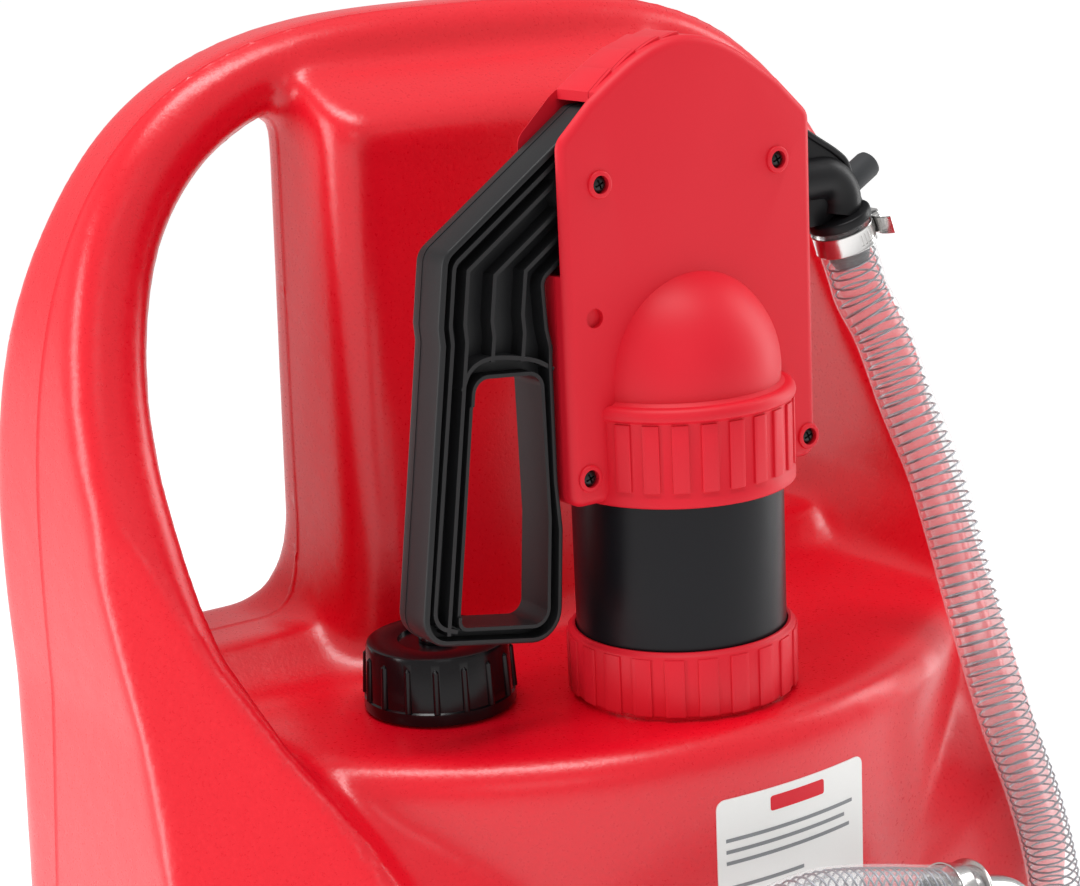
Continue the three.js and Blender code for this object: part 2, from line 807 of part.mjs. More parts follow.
function pumpGasket() {
  return tubeRing(neckRadius, neckBore, gasketTop - gasketHeight, gasketTop);
}

function suctionTube() {
  const low = bodyFoot + wall + strainerHeight / 2;
  return tubeRing(tubeRadius, tubeRadius - tubeWall, low, flangeBottom - 2 * seat);
}

function suctionStrainer() {
  const low = bodyFoot + wall + seat;
  const high = low + strainerHeight;
  const outer = tubeRadius + seat + socketWall;
  const reach = outer + overrun;
  const cup = cylinder(outer, low, high);
  const bore = cylinder(tubeRadius + seat, low + strainerHeight / 2 - seat, high + overrun);
  const sump = cylinder(tubeRadius - tubeWall, low + socketWall, high);
  const slit = box(
    [-reach, -socketWall / 2, low + socketWall],
    [reach, socketWall / 2, low + strainerHeight / 2 - socketWall],
  );
  const slits = Array.from({ length: strainerSlits }, (_, k) =>
    slit.rotate([0, 0, (k * 180) / strainerSlits]));
  return cut(cup, bore, sump, ...slits);
}

const footValveLow = chamberFloor + seat;
const cageInner = footValveRadius + running;
const cageCeiling = footValveLow + valveThickness + valveTravel + running;

function footValveDisc() {
  return cylinder(footValveRadius, footValveLow, footValveLow + valveThickness);
}

function footValveCage() {
  const outer = cageInner + cageWall;
  const top = cageCeiling + cageWall;
  const half = cageInner + cageWall / 2;
  const ring = tubeRing(outer, cageInner, chamberFloor + seat, top);
  const bar = box([-half, -cageWall, cageCeiling], [half, cageWall, top]);
  return join(ring, bar, bar.rotate([0, 0, 90]));
}

// Screw places and the lever's pivot, as [x, z]
const shoulderHeight = housingApex - roofRise;
const pivot = [pivotInset - housingHalfWidth, shoulderHeight - screwDrop];
const upperRight = [housingHalfWidth - upperInset, shoulderHeight - screwDrop];
const lowerLeft = [lowerInset - housingHalfWidth, housingBottom + lowerRise];
const lowerRight = [housingHalfWidth - lugInset, housingBottom + lugRise];
const dimple = [dimpleInset - housingHalfWidth, shoulderHeight - dimpleDrop];

// The crank is as long as keeps its pin evenly about the rod's axis over a stroke.
const [pivotX, pivotZ] = pivot;
const crank = (-2 * pivotX) / (1 + Math.cos(crankAngle));
const pinSwing = (crank * (1 - Math.cos(crankAngle))) / 2;
const pinRest = [pivotX + crank * Math.cos(crankAngle), pivotZ + crank * Math.sin(crankAngle)];
const slotHalf = pinSwing + pinRadius + running;
const eyeHalf = slotHalf + eyeWall;
const eyeThickness = forkGap - 2 * running;
const pistonTop = pistonBottom + pistonHeight;
const valveLow = pistonTop + seat;
const stopLow = valveLow + valveThickness + valveTravel + running;

function pistonRod() {
  const [, pinHeight] = pinRest;
  const shaft = revolve([
    [0, pistonBottom - nutHeight - seat], [rodRadius, pistonBottom - nutHeight - seat],
    [rodRadius, stopLow], [nutRadius, stopLow], [nutRadius, stopLow + collarHeight],
    [rodRadius, stopLow + collarHeight], [rodRadius, pinHeight - eyeHalfHeight / 2],
    [0, pinHeight - eyeHalfHeight / 2],
  ]);
  const eyeShape = roundedShape([
    [-eyeHalf, pinHeight - eyeHalfHeight, eyeFootRound], [eyeHalf, pinHeight - eyeHalfHeight, eyeFootRound],
    [eyeHalf, pinHeight + eyeHalfHeight, eyeTopRound], [-eyeHalf, pinHeight + eyeHalfHeight, eyeTopRound],
  ]);
  const rise = pinRadius + running;
  const end = rise * slotRoundShare;
  const slotShape = roundedShape([
    [-slotHalf, pinHeight - rise, end], [slotHalf, pinHeight - rise, end],
    [slotHalf, pinHeight + rise, end], [-slotHalf, pinHeight + rise, end],
  ]);
  const eye = plate(eyeShape, -eyeThickness / 2, eyeThickness / 2);
  return cut(join(shaft, eye), plate(slotShape, -eyeThickness, eyeThickness));
}

const grooveLow = pistonBottom + (pistonHeight - sealWidth) / 2;

function piston() {
  const body = revolve([
    [rodRadius + seat, pistonBottom], [pistonRadius, pistonBottom], [pistonRadius, grooveLow - seat],
    [pistonRadius - sealDepth, grooveLow - seat], [pistonRadius - sealDepth, grooveLow + sealWidth + seat],
    [pistonRadius, grooveLow + sealWidth + seat], [pistonRadius, pistonTop], [rodRadius + seat, pistonTop],
  ]);
  const port = moved(cylinder(portRadius, pistonBottom - overrun, pistonTop + overrun), portCircle, 0, 0);
  const ports = Array.from({ length: pistonPorts }, (_, k) => port.rotate([0, 0, (k * 360) / pistonPorts]));
  return cut(body, ...ports);
}

function pistonSeal() {
  const inner = pistonRadius - sealDepth + seat;
  const outer = boreRadius - seat;
  const rim = (outer - inner) / 4;
  return revolve([
    [inner, grooveLow], [outer - rim, grooveLow], [outer, grooveLow + rim],
    [outer, grooveLow + sealWidth - rim], [outer - rim, grooveLow + sealWidth],
    [inner, grooveLow + sealWidth],
  ]);
}

function pistonValve() {
  return tubeRing(portCircle + 2 * portRadius, rodRadius + running, valveLow, valveLow + valveThickness);
}

function pistonNut() {
  const high = pistonBottom - seat;
  const outline = Array.from({ length: nutSides }, (_, k) => {
    const angle = (k * 2 * Math.PI) / nutSides;
    return [nutRadius * Math.cos(angle), nutRadius * Math.sin(angle)];
  });
  const hexagon = slab(roundedShape(outline), high - nutHeight + seat, high);
  return cut(hexagon, cylinder(rodRadius + seat, high - nutHeight - overrun, high + overrun));
}

const rodBore = rodRadius + running;
const headSeal = headBossTop - rodSealHeight - socketWall;
const portSeat = pipeRadius + seat;

function pumpHead() {
  const body = revolve([
    [0, barrelTop - headSkirt], [boreRadius - seat, barrelTop - headSkirt],
    [boreRadius - seat, barrelTop + seat], [barrelRadius, barrelTop + seat],
    [barrelRadius, collarTop], [headBossRadius, collarTop], [headBossRadius, headBossTop],
    [0, headBossTop],
  ]);
  const bore = cylinder(rodBore, barrelTop - headSkirt - overrun, headBossTop + overrun);
  const pocket = cylinder(rodSealRadius + seat, headSeal, headBossTop + overrun);
  const port = moved(cylinder(pipeBore, barrelTop - headSkirt - overrun, collarTop), riserPlace, 0, 0);
  const socket = moved(cylinder(portSeat, barrelTop - headSkirt / 2, collarTop + overrun), riserPlace, 0, 0);
  return cut(body, bore, pocket, port, socket);
}

function rodSeal() {
  return tubeRing(rodSealRadius, rodRadius + seat, headSeal + seat, headSeal + seat + rodSealHeight);
}

// Pump housing: a front cover and a rear tub, each with half of the collar and dome

// The housing's outline, inset by a wall.
function housingShape(inset) {
  const half = housingHalfWidth - inset;
  const roof = roofShares.map(([across, up]) => [
    across * housingHalfWidth - inset * across * roofInsetShare,
    shoulderHeight + up * roofRise - inset,
  ]);
  const right = [
    [half, housingBottom + inset, housingFootRound], [half, shoulderHeight, shoulderRound], ...roof,
  ];
  const left = right.slice(0, -1).reverse().map(([x, z, radius]) => [-x, z, radius]);
  return roundedShape([...right, ...left]);
}

// The collar and dome, a solid of revolution round the barrel, grown by a gap.
function collarForm(gap) {
  const start = Math.asin((collarTop - domeSink - domeCentre) / domeRadius);
  const dome = Array.from({ length: domeSteps + 1 }, (_, k) => {
    const angle = start + ((Math.PI / 2 - start) * k) / domeSteps;
    const radius = domeRadius + gap;
    return [k === domeSteps ? 0 : radius * Math.cos(angle), domeCentre + radius * Math.sin(angle)];
  });
  const chamfer = edgeRound;
  return revolve([
    [0, collarBottom - gap], [collarRadius - grooveDepth + gap, collarBottom - gap],
    [collarRadius - grooveDepth + gap, collarTop - chamfer + gap],
    [collarRadius - grooveDepth - chamfer + gap, collarTop + gap], ...dome,
  ]);
}

function collarPadsForm() {
  const pads = paddedShape(collarRadius, grooveDepth, ringPads, ringPadShare);
  return slab(pads, collarBottom, collarTop - edgeRound);
}

// The space inside the housing for the barrel's top, the linkage and the riser.
function housingSpace() {
  const room = plate(housingShape(shellWall), plateFront + plateWall, -plateFront - plateWall);
  const barrel = cylinder(barrelRadius + seat, collarBottom - overrun, collarTop + seat);
  const inner = domeRadius - plateWall;
  const dome = revolve([
    [0, collarTop], [Math.sqrt(inner ** 2 - (domeCentre - collarTop) ** 2), collarTop],
    ...Array.from({ length: domeSteps + 1 }, (_, k) => {
      const angle = (Math.PI / 2) * (k / domeSteps);
      return [k === domeSteps ? 0 : inner * Math.cos(angle), domeCentre + inner * Math.sin(angle)];
    }),
  ]);
  return join(room, barrel, dome);
}

const slotEnd = slotInset - housingHalfWidth;

// The lever's slot through the left wall and the roof beside it.
function leverSlot() {
  const half = leverThickness / 2 + 2 * running;
  const left = -housingHalfWidth - overrun;
  const inner = slotEnd - hubRadius / 2;
  const foot = shoulderHeight - slotDrop;
  const step = shoulderHeight - roofRise / 2;
  const corners = [
    [left, foot], [inner, foot], [inner, step], [slotEnd, step], [slotEnd, housingApex], [left, housingApex],
  ];
  return plate(roundedShape(corners), -half, half);
}

const bosses = [pivot, upperRight, lowerLeft, lowerRight];
const lugRadius = bossRadius + shellWall;
const cavityRear = -plateFront - plateWall;

function halfSpace(front, rear) {
  const wide = 2 * housingHalfWidth;
  return box([-wide, front, 0], [wide, rear, housingApex + 2 * roofRise]);
}

function housingFront() {
  const outside = plate(housingShape(0), plateFront, -plateFront, edgeRound);
  const lug = crossPin(lugRadius, plateFront, housingParting, lowerRight);
  const cover = join(outside, lug).intersect(halfSpace(plateFront - overrun, housingParting));
  const bulge = join(collarForm(0), collarPadsForm()).intersect(
    halfSpace(-2 * collarRadius, -seat / 2),
  );
  const rims = bosses.map((spot) =>
    crossPin(bossRadius, plateFront - bossProud, plateFront + plateWall, spot));
  const screwHoles = bosses.map((spot) =>
    join(
      crossPin(screwRadius + seat, plateFront - overrun, 0, spot),
      crossPin(screwHeadRadius + seat, plateFront - overrun, plateFront + screwHeadHeight / 2, spot),
    ),
  );
  const postRooms = bosses.map((spot) =>
    crossPin(bossRadius + seat, plateFront + plateWall, housingParting + overrun, spot),
  );
  const recess = crossPin(pinRadius, plateFront - overrun, plateFront + plateWall / 2, dimple);
  const body = cut(join(cover, bulge), housingSpace(), leverSlot(), ...postRooms);
  return cut(join(body, ...rims), ...screwHoles, recess);
}

function housingRear() {
  const outside = plate(housingShape(0), plateFront, -plateFront, edgeRound);
  const lug = crossPin(lugRadius, housingParting, -plateFront, lowerRight);
  const tub = join(outside, lug).intersect(halfSpace(housingParting + seat, -plateFront + overrun));
  const bulge = join(collarForm(0), collarPadsForm()).intersect(
    halfSpace(seat / 2, 2 * collarRadius),
  );
  const frontBulge = join(
    collarForm(seat),
    cylinder(around(collarRadius + seat), collarBottom - seat, collarTop - edgeRound + seat),
  ).intersect(halfSpace(-2 * collarRadius, seat / 2));
  const roof = shingles().intersect(halfSpace(housingParting + seat, -plateFront));
  const postFoot = plateFront + plateWall + seat;
  const posts = bosses.map((spot) =>
    crossPin(spot === pivot ? bossRadius - seat : bossRadius, postFoot, cavityRear + seat, spot),
  );
  const bores = bosses.map((spot) =>
    crossPin(screwRadius + seat, plateFront - overrun, plateFront + screwLength + seat, spot),
  );
  const outletHole = sidePin(
    pipeRadius + seat, housingHalfWidth - 2 * overrun, housingHalfWidth + overrun, [0, outletHeight]);
  const barrel = cylinder(barrelRadius + seat, collarBottom - overrun, collarTop + seat);
  const shell = cut(join(tub, bulge, roof), housingSpace(), leverSlot(), frontBulge, outletHole);
  return cut(join(shell, ...posts), ...bores, barrel);
}

// Overlapping steps along the left of the roof.
function shingles() {
  const points = roofShares.map(([across, up]) => new THREE.Vector2(
    -across * housingHalfWidth, shoulderHeight + up * roofRise));
  const steps = points.slice(0, -1).map((low, i) => {
    const high = points[i + 1];
    const start = i === 0 ? low.clone().lerp(high, (slotEnd - low.x) / (high.x - low.x)) : low;
    const along = high.clone().sub(start).normalize();
    const up = new THREE.Vector2(-along.y, along.x).multiplyScalar(shingleStep);
    const down = up.clone().multiplyScalar(-shellWall);
    return new THREE.Shape([
      start.clone().add(down), high.clone().add(down), high, start.clone().add(up)]);
  });
  const front = plateFront + edgeRound + shingleInset;
  return join(...steps.map((shape) => plate(shape, front, -plateFront - edgeRound)));
}

function housingScrew(spot) {
  const top = plateFront + screwHeadHeight / 2 - seat;
  return join(
    crossPin(screwHeadRadius, top - screwHeadHeight, top, spot),
    crossPin(screwRadius, top - seat, plateFront + screwLength - seat, spot),
  );
}

// Lever

const bushInner = bossRadius;
const bushOuter = bushInner + bushWall;
const leverHalf = leverThickness / 2;
const leverFoot = capTop + leverClearance;
const barX = pivotX - barReach;

// The lever's outer edge: it leaves the hub as a tangent, bends at the knee and ends at the heel.
const leave = Math.PI / 2 + armSlope;
const armStart = new THREE.Vector2(
  pivotX + hubRadius * Math.cos(leave), pivotZ + hubRadius * Math.sin(leave));
const knee = new THREE.Vector2(pivotX - kneeReach, pivotZ - kneeDrop);
const heel = new THREE.Vector2(pivotX - heelReach, leverFoot + heelRise);

// The finger opening's corners, clockwise from its upper left.
function gripCorners() {
  const foot = leverFoot + gripFoot;
  const top = pivotZ - gripDrop;
  const right = barX - gripTopIn;
  const footRight = barX - gripFootIn;
  return [
    [right - gripTopWidth, top], [right, top - gripSkew], [footRight, foot],
    [footRight - gripFootWidth, foot],
  ];
}

function leverForm() {
  const hub = crossPin(hubRadius, -leverHalf, leverHalf, pivot);
  const body = plate(
    roundedShape([
      armStart.toArray(), [knee.x, knee.y, kneeRound], [heel.x, heel.y, heelRound],
      [heel.x + toeIn, leverFoot + toeRise, heelRound], [barX - footRun, leverFoot, heelRound],
      [barX - barTaper, leverFoot + barTaper, heelRound], [barX, pivotZ - hubRadius + barTaper],
      [pivotX, pivotZ - hubRadius], pivot,
    ]),
    -leverHalf,
    leverHalf,
  );
  const opening = roundedShape(gripCorners().map(([x, z]) => [x, z, gripRound]));
  return cut(join(hub, body), plate(opening, -leverThickness, leverThickness));
}

// Where two lines meet, each given by a point and a direction.
function meeting(point, along, other, way) {
  const between = other.clone().sub(point);
  return point.clone().addScaledVector(along, between.cross(way) / along.cross(way));
}

// A line down the arm and on down the grip, so far in from the outer edge: its start beside
// the hub, its knee and its foot at a height.
function ribLine(armIn, gripIn, foot) {
  const arm = knee.clone().sub(armStart).normalize();
  const grip = heel.clone().sub(knee).normalize();
  const start = armStart.clone().add(new THREE.Vector2(-arm.y, arm.x).multiplyScalar(armIn));
  const side = knee.clone().add(new THREE.Vector2(-grip.y, grip.x).multiplyScalar(gripIn));
  const level = new THREE.Vector2(1, 0);
  return [start, meeting(start, arm, side, grip), meeting(side, grip, new THREE.Vector2(0, foot), level)];
}

// The channels between the ribs, cut from both faces down to the middle web.
function leverChannels() {
  const bridge = pivotZ - gripDrop + gripWeb;
  return ribShares.slice(0, -1).flatMap(([arm, grip], i) => {
    const [nextArm, nextGrip] = ribShares[i + 1];
    const foot = i < longRibs ? leverFoot + gripFoot : bridge;
    const near = ribLine(arm * armBreadth + ribWall, grip * gripBreadth + ribWall, foot);
    const far = ribLine(nextArm * armBreadth, nextGrip * gripBreadth, foot);
    const shape = new THREE.Shape([...near, ...far.reverse()]);
    return [plate(shape, -leverThickness, -leverWeb / 2), plate(shape, leverWeb / 2, leverThickness)];
  });
}

function lever() {
  const [pinX, pinZ] = pinRest;
  const along = new THREE.Vector2(pinX - pivotX, pinZ - pivotZ).normalize();
  const across = new THREE.Vector2(-along.y, along.x).multiplyScalar(crankHalfWidth);
  const crankShape = new THREE.Shape([
    new THREE.Vector2(...pivot).sub(across), new THREE.Vector2(...pinRest).sub(across),
    new THREE.Vector2(...pinRest).add(across), new THREE.Vector2(...pivot).add(across),
  ]);
  const crankArm = join(
    plate(crankShape, -leverHalf, leverHalf),
    crossPin(crankHalfWidth, -leverHalf, leverHalf, pinRest),
    crossPin(hubCore, -leverHalf, leverHalf, pivot),
  );
  const forkRadius = Math.hypot(eyeHalf + pinSwing, eyeHalfHeight) + running;
  const forkRoom = crossPin(forkRadius, -forkGap / 2, forkGap / 2, pinRest);
  const bore = crossPin(bushOuter + running, -leverThickness, leverThickness, pivot);
  const pinBore = crossPin(pinRadius + seat, -leverThickness, leverThickness, pinRest);
  return cut(join(cut(leverForm(), ...leverChannels()), crankArm), forkRoom, bore, pinBore);
}

function pivotBush() {
  return cut(
    crossPin(bushOuter, -leverHalf, leverHalf, pivot),
    crossPin(bushInner, -leverThickness, leverThickness, pivot),
  );
}

function rodPin() {
  return crossPin(pinRadius, -leverHalf, leverHalf, pinRest);
}

// Outlet elbow, vacuum breaker and hose clamps

const outletHeight = shoulderHeight - outletInset;
const outletX = housingHalfWidth + outletReach;
const outletZ = outletHeight - outletDrop;
const outletAxis = new THREE.Vector3(Math.sin(outletTilt), 0, -Math.cos(outletTilt));
const outletPoint = (distance) =>
  new THREE.Vector3(outletX, 0, outletZ).addScaledVector(outletAxis, distance);
const outletTurn = [0, -THREE.MathUtils.radToDeg(outletTilt), 0];

// A solid made round the Z axis, turned onto the outlet's axis and moved along it.
function onOutlet(solid, distance) {
  const spot = outletPoint(distance);
  return solid.rotate(outletTurn).translate([spot.x, spot.y, spot.z]);
}

const riserFoot = barrelTop - headSkirt / 2 + seat;

function outletRoute() {
  const above = outletPoint(-outletDrop / Math.cos(outletTilt));
  return bentPath(
    [
      new THREE.Vector3(riserPlace, 0, riserFoot),
      new THREE.Vector3(riserPlace, 0, outletHeight),
      new THREE.Vector3(above.x, 0, outletHeight),
      outletPoint(outletFlangeHeight),
    ],
    elbowBend,
  );
}

function outletElbow() {
  const route = outletRoute();
  const outside = pipe(route, pipeRadius, 0, pipeSteps, pipeSides);
  const bore = pipe(route, pipeBore, 0, pipeSteps, pipeSides);
  const flange = onOutlet(cylinder(outletFlangeRadius, -outletFlangeHeight, 0), 0);
  const [ridgeStart, ridgeEnd] = barbShares.map((share) => -outletFlangeHeight - share * barbLength);
  const barbEnd = -outletFlangeHeight - barbLength;
  const barb = onOutlet(
    revolve([
      [0, barbEnd], [barbRadius - barbStep, barbEnd], [barbRadius, ridgeEnd],
      [barbRadius - barbStep, ridgeStart], [barbRadius - barbStep, -outletFlangeHeight],
      [0, -outletFlangeHeight],
    ]),
    0,
  );
  const barbBore = onOutlet(cylinder(pipeBore, barbEnd - overrun, overrun), 0);
  const root = housingHalfWidth + seat;
  const reach = outletX + outletFlangeRadius - root;
  const back = gussetShares.map(([out, up]) => [
    root + out * reach, outletZ + up * (outletHeight + gussetRise - outletZ)]);
  const gusset = plate(
    roundedShape([[root, outletHeight], ...back, [outletX, outletZ]]),
    -gussetThickness / 2,
    gussetThickness / 2,
  );
  return cut(join(outside, flange, barb, gusset), bore, barbBore);
}

function vacuumBreaker() {
  const stub = revolve([
    [0, 0], [breakerRadius, 0], [breakerRadius, breakerLength - breakerChamfer],
    [breakerRadius - breakerChamfer, breakerLength], [breakerBore, breakerLength],
    [breakerBore, breakerLength - breakerBoreDepth], [0, breakerLength - breakerBoreDepth],
  ]);
  const behind = gussetThickness / 2 + seat + breakerRadius;
  const turned = moved(
    stub.rotate([0, breakerTurn, 0]), outletX + breakerOut, behind, outletHeight - breakerDrop);
  return cut(turned, pipe(outletRoute(), pipeRadius + seat, 0, pipeSteps, pipeSides));
}

const clampRadius = hoseRadius + running;

const wormSpot = [clampRadius + clampWall + wormHouseHeight / 2, 0];

// A worm clamp round the Z axis: a band with the screw's housing on one side.
function clampForm() {
  const half = clampWidth / 2;
  const outer = clampRadius + clampWall;
  const band = tubeRing(outer, clampRadius, -half, half);
  const house = box(
    [outer - clampWall / 2, -wormHouseHalf, -half],
    [outer + wormHouseHeight, wormHouseHalf, half],
  );
  const hole = crossPin(wormRadius + running, -2 * wormHouseHalf, 2 * wormHouseHalf, wormSpot);
  return cut(join(band, house), hole);
}

function clampScrewForm() {
  const head = wormHouseHalf + seat;
  return join(
    crossPin(wormRadius, -wormHouseHalf, head + seat, wormSpot),
    crossPin(wormHeadRadius, head, head + wormHeadLength, wormSpot),
  );
}

const hoseStartGap = outletFlangeHeight + seat;
const pumpClampPlace = hoseStartGap + clampWidth / 2 + clampInset;
// Points of the hose's straight start, in hose radii from its end.
const startShares = [0, 1, 2, 2.8];

// Spout, clear hose and its route

// Chosen by hand: down from the outlet over the right shoulder, a loop at the front and up
// to the spout in its ring.
const hoseRoute = [
  [110, -6, 110], [117.5, -14, 78], [124, -26, 45], [128.5, -45, -13], [133, -60, -60],
  [147, -66, -105], [159, -66.5, -151], [162, -67, -220], [162, -67, -300], [158, -68, -390],
  [142, -70, -460], [105, -74, -515], [55, -80, -543], [10, -82, -550], [-40, -82, -538],
  [-88, -82, -500], [-118, -82, -440], [-127, -83, -370], [-127, -85, -290], [-125, -88, -225],
  [-110, -91, -165], [-80, -93.5, -122], [-43, -95, -100], [-10, -95, -95],
];
const spoutStart = new THREE.Vector3(55, -95, -111.5);
const spoutAxis = new THREE.Vector3(Math.cos(spoutSlope), 0, -Math.sin(spoutSlope));
const spoutPoint = (distance) => spoutStart.clone().addScaledVector(spoutAxis, distance);

function hoseCurve() {
  const points = [
    ...startShares.map((share) => outletPoint(hoseStartGap + share * hoseRadius)),
    ...hoseRoute.map((point) => new THREE.Vector3(...point)),
    spoutPoint(-2 * hoseRadius), spoutPoint(-hoseRadius), spoutPoint(barbLength),
  ];
  return new THREE.CatmullRomCurve3(points, false, "centripetal");
}

// Places for the bore's rings: a straight run between two of them leaves the curve by no more
// than the bore's sag.
function boreShares(curve, from, to) {
  const length = curve.getLength();
  const places = [from];
  let last = curve.getTangentAt(from);
  for (let k = 1; k < boreSamples; k += 1) {
    const place = from + ((to - from) * k) / boreSamples;
    const tangent = curve.getTangentAt(place);
    const run = (place - places[places.length - 1]) * length;
    if ((run * tangent.angleTo(last)) / 8 > boreSag) {
      places.push(place);
      last = tangent;
    }
  }
  return [...places, to];
}

// The hose: a tube with a low rib over each turn of its wire, open along its bore.
function hoseForm() {
  const curve = hoseCurve();
  const length = curve.getLength();
  const smoothShare = hoseRadius / length;
  const frames = (count, share) => {
    const point = curve.getPointAt(share);
    const tangent = curve.getTangentAt(share);
    const side = new THREE.Vector3(0, 1, 0).cross(tangent).normalize();
    const up = tangent.clone().cross(side);
    return (radius) =>
      Array.from({ length: count }, (_, k) => {
        const angle = (k / count) * 2 * Math.PI;
        return point.clone().addScaledVector(side, radius * Math.cos(angle))
          .addScaledVector(up, radius * Math.sin(angle));
      });
  };
  const outer = [frames(hoseSides, 0)(hoseRadius)];
  const last = 2 * hoseRibs - 2;
  for (let k = 0; k <= last; k += 1) {
    const share = smoothShare + ((1 - 2 * smoothShare) * k) / last;
    outer.push(frames(hoseSides, share)(hoseRadius - (k % 2 ? hoseRibDepth : 0)));
  }
  outer.push(frames(hoseSides, 1)(hoseRadius));
  const straight = (barbLength + hoseStartGap) / length;
  const inner = [0, ...boreShares(curve, straight, 1 - straight), 1].map((share) =>
    frames(hoseSides, share)(hoseBore));
  console.log(`hose length ${length.toFixed(0)} mm`);
  return tubeBetween(outer, inner);
}

// A closed skin over outer rings and, inside them, bore rings, joined at both ends.
function tubeBetween(outer, inner) {
  const count = outer[0].length;
  const points = [...outer.flat(), ...inner.flat()];
  const triangles = [];
  const quad = (a, b, c, d) => triangles.push(a, b, c, a, c, d);
  const skin = (from, rings, inward) => {
    for (let ring = 0; ring < rings - 1; ring += 1) {
      for (let i = 0; i < count; i += 1) {
        const a = from + ring * count + i;
        const b = from + ring * count + ((i + 1) % count);
        if (inward) quad(b, a, a + count, b + count);
        else quad(a, b, b + count, a + count);
      }
    }
  };
  const innerFrom = outer.length * count;
  skin(0, outer.length, false);
  skin(innerFrom, inner.length, true);
  for (let i = 0; i < count; i += 1) {
    const next = (i + 1) % count;
    quad(next, i, innerFrom + i, innerFrom + next);
    const outerEnd = (outer.length - 1) * count;
    const innerEnd = innerFrom + (inner.length - 1) * count;
    quad(outerEnd + i, outerEnd + next, innerEnd + next, innerEnd + i);
  }
  const geometry = new THREE.BufferGeometry().setFromPoints(points);
  geometry.setIndex(triangles);
  return toSolid(geometry);
}

const spoutKneePlace = barbLength + spoutReach;
const spoutTurn = [0, 90 + THREE.MathUtils.radToDeg(spoutSlope), 0];
const spoutKnee = spoutPoint(spoutKneePlace);
const holderTop = spoutKnee.z - holderDrop;

// A solid made round the Z axis, turned onto the spout's first run; its own +Z points along
// the flow.
function onSpout(solid, distance) {
  const spot = spoutPoint(distance);
  return solid.rotate(spoutTurn).translate([spot.x, spot.y, spot.z]);
}

function dischargeSpout() {
  const route = bentPath(
    [spoutPoint(0), spoutKnee, spoutKnee.clone().add(new THREE.Vector3(0, 0, -spoutDrop))], spoutBend);
  const outside = pipe(route, spoutRadius, 0, pipeSteps, pipeSides);
  const bore = pipe(route, spoutRadius - spoutWall, 0, pipeSteps, pipeSides);
  const stopLow = barbLength + seat;
  const stop = onSpout(
    tubeRing(outletFlangeRadius, spoutRadius - spoutWall / 2, stopLow, stopLow + spoutWall), 0);
  const collarLow = holderTop + seat;
  const collar = moved(
    tubeRing(spoutCollar, spoutRadius - spoutWall / 2, collarLow, collarLow + spoutCollarHeight),
    spoutKnee.x, spoutKnee.y, 0);
  return cut(join(outside, stop, collar), bore);
}

const holderFace = bodyFront - seat;
const holderPlateLow = holderTop - holderHeight - holderMargin;
const holderPlateHigh = holderTop + holderMargin;
const holderScrewSpots = [holderPlateLow + holderRound, holderPlateHigh - holderRound].map((z) => [0, z]);

function spoutHolder() {
  const bore = spoutRadius + 2 * running;
  const low = holderTop - holderHeight;
  const ring = cylinder(bore + holderWall, low, holderTop);
  const corners = [
    [-holderHalfWidth, holderPlateLow], [holderHalfWidth, holderPlateLow],
    [holderHalfWidth, holderPlateHigh], [-holderHalfWidth, holderPlateHigh],
  ];
  const mountPlate = plate(
    roundedShape(corners.map(([x, z]) => [x, z, holderRound])), holderFace - holderWall, holderFace);
  const arm = box(
    [-holderWall, spoutKnee.y, low],
    [holderWall, holderFace - holderWall / 2, holderTop],
  );
  const hole = cylinder(bore, low - overrun, holderTop + overrun);
  const holes = holderScrewSpots.map((spot) =>
    crossPin(screwRadius + seat, holderFace - 2 * holderWall, holderFace + overrun, spot));
  const body = join(moved(ring, 0, spoutKnee.y, 0), arm);
  const bracket = cut(join(body, mountPlate), moved(hole, 0, spoutKnee.y, 0), ...holes);
  return moved(bracket, spoutKnee.x, 0, 0);
}

function holderScrew([, z]) {
  const spot = [spoutKnee.x, z];
  const under = holderFace - holderWall - seat;
  return join(
    crossPin(screwHeadRadius, under - screwHeadHeight, under, spot),
    crossPin(screwRadius, under - seat, holderFace, spot),
  );
}

// Wheels

const wheelOut = bodyHalfWidth;
const wheelIn = wheelOut - wheelWidth;

function spinWheel(profile) {
  return revolve(profile).rotate([0, 90, 0]);
}

function tyre() {
  const half = wheelWidth / 2;
  return spinWheel([
    [rimRadius, beadStep - half], [rimRadius + tyreShoulder, -half], [wheelRadius - tyreShoulder, -half],
    [wheelRadius, tyreShoulder - half], [wheelRadius, half - tyreShoulder],
    [wheelRadius - tyreShoulder, half], [rimRadius + tyreShoulder, half], [rimRadius, half - beadStep],
  ]);
}

function wheelHub() {
  const half = wheelWidth / 2;
  const bead = rimRadius - seat;
  const dish = bead - rimDepth;
  const bore = axleRadius + running;
  const web = spinWheel([
    [bore, -half], [hubBossRadius, -half], [hubBossRadius, -hubWeb / 2], [dish, -hubWeb / 2],
    [bead, rimLip - half], [bead, half - rimLip], [dish, hubWeb / 2], [hubBossRadius, hubWeb / 2],
    [hubBossRadius, half], [bore, half],
  ]);
  const hole = sidePin(hubHoleRadius, -half, half, [0, (hubBossRadius + dish) / 2]);
  const holes = Array.from({ length: hubHoles }, (_, k) => hole.rotate([(k * 360) / hubHoles, 0, 0]));
  return cut(web, ...holes);
}

function atWheel(solid, side) {
  return moved(solid, side * (wheelOut - wheelWidth / 2), wheelPlace, axleHeight);
}

function axle() {
  const reach = wheelOut + washerThickness + seat + axleCapEdge - seat;
  return sidePin(axleRadius, -reach, reach, [wheelPlace, axleHeight]);
}

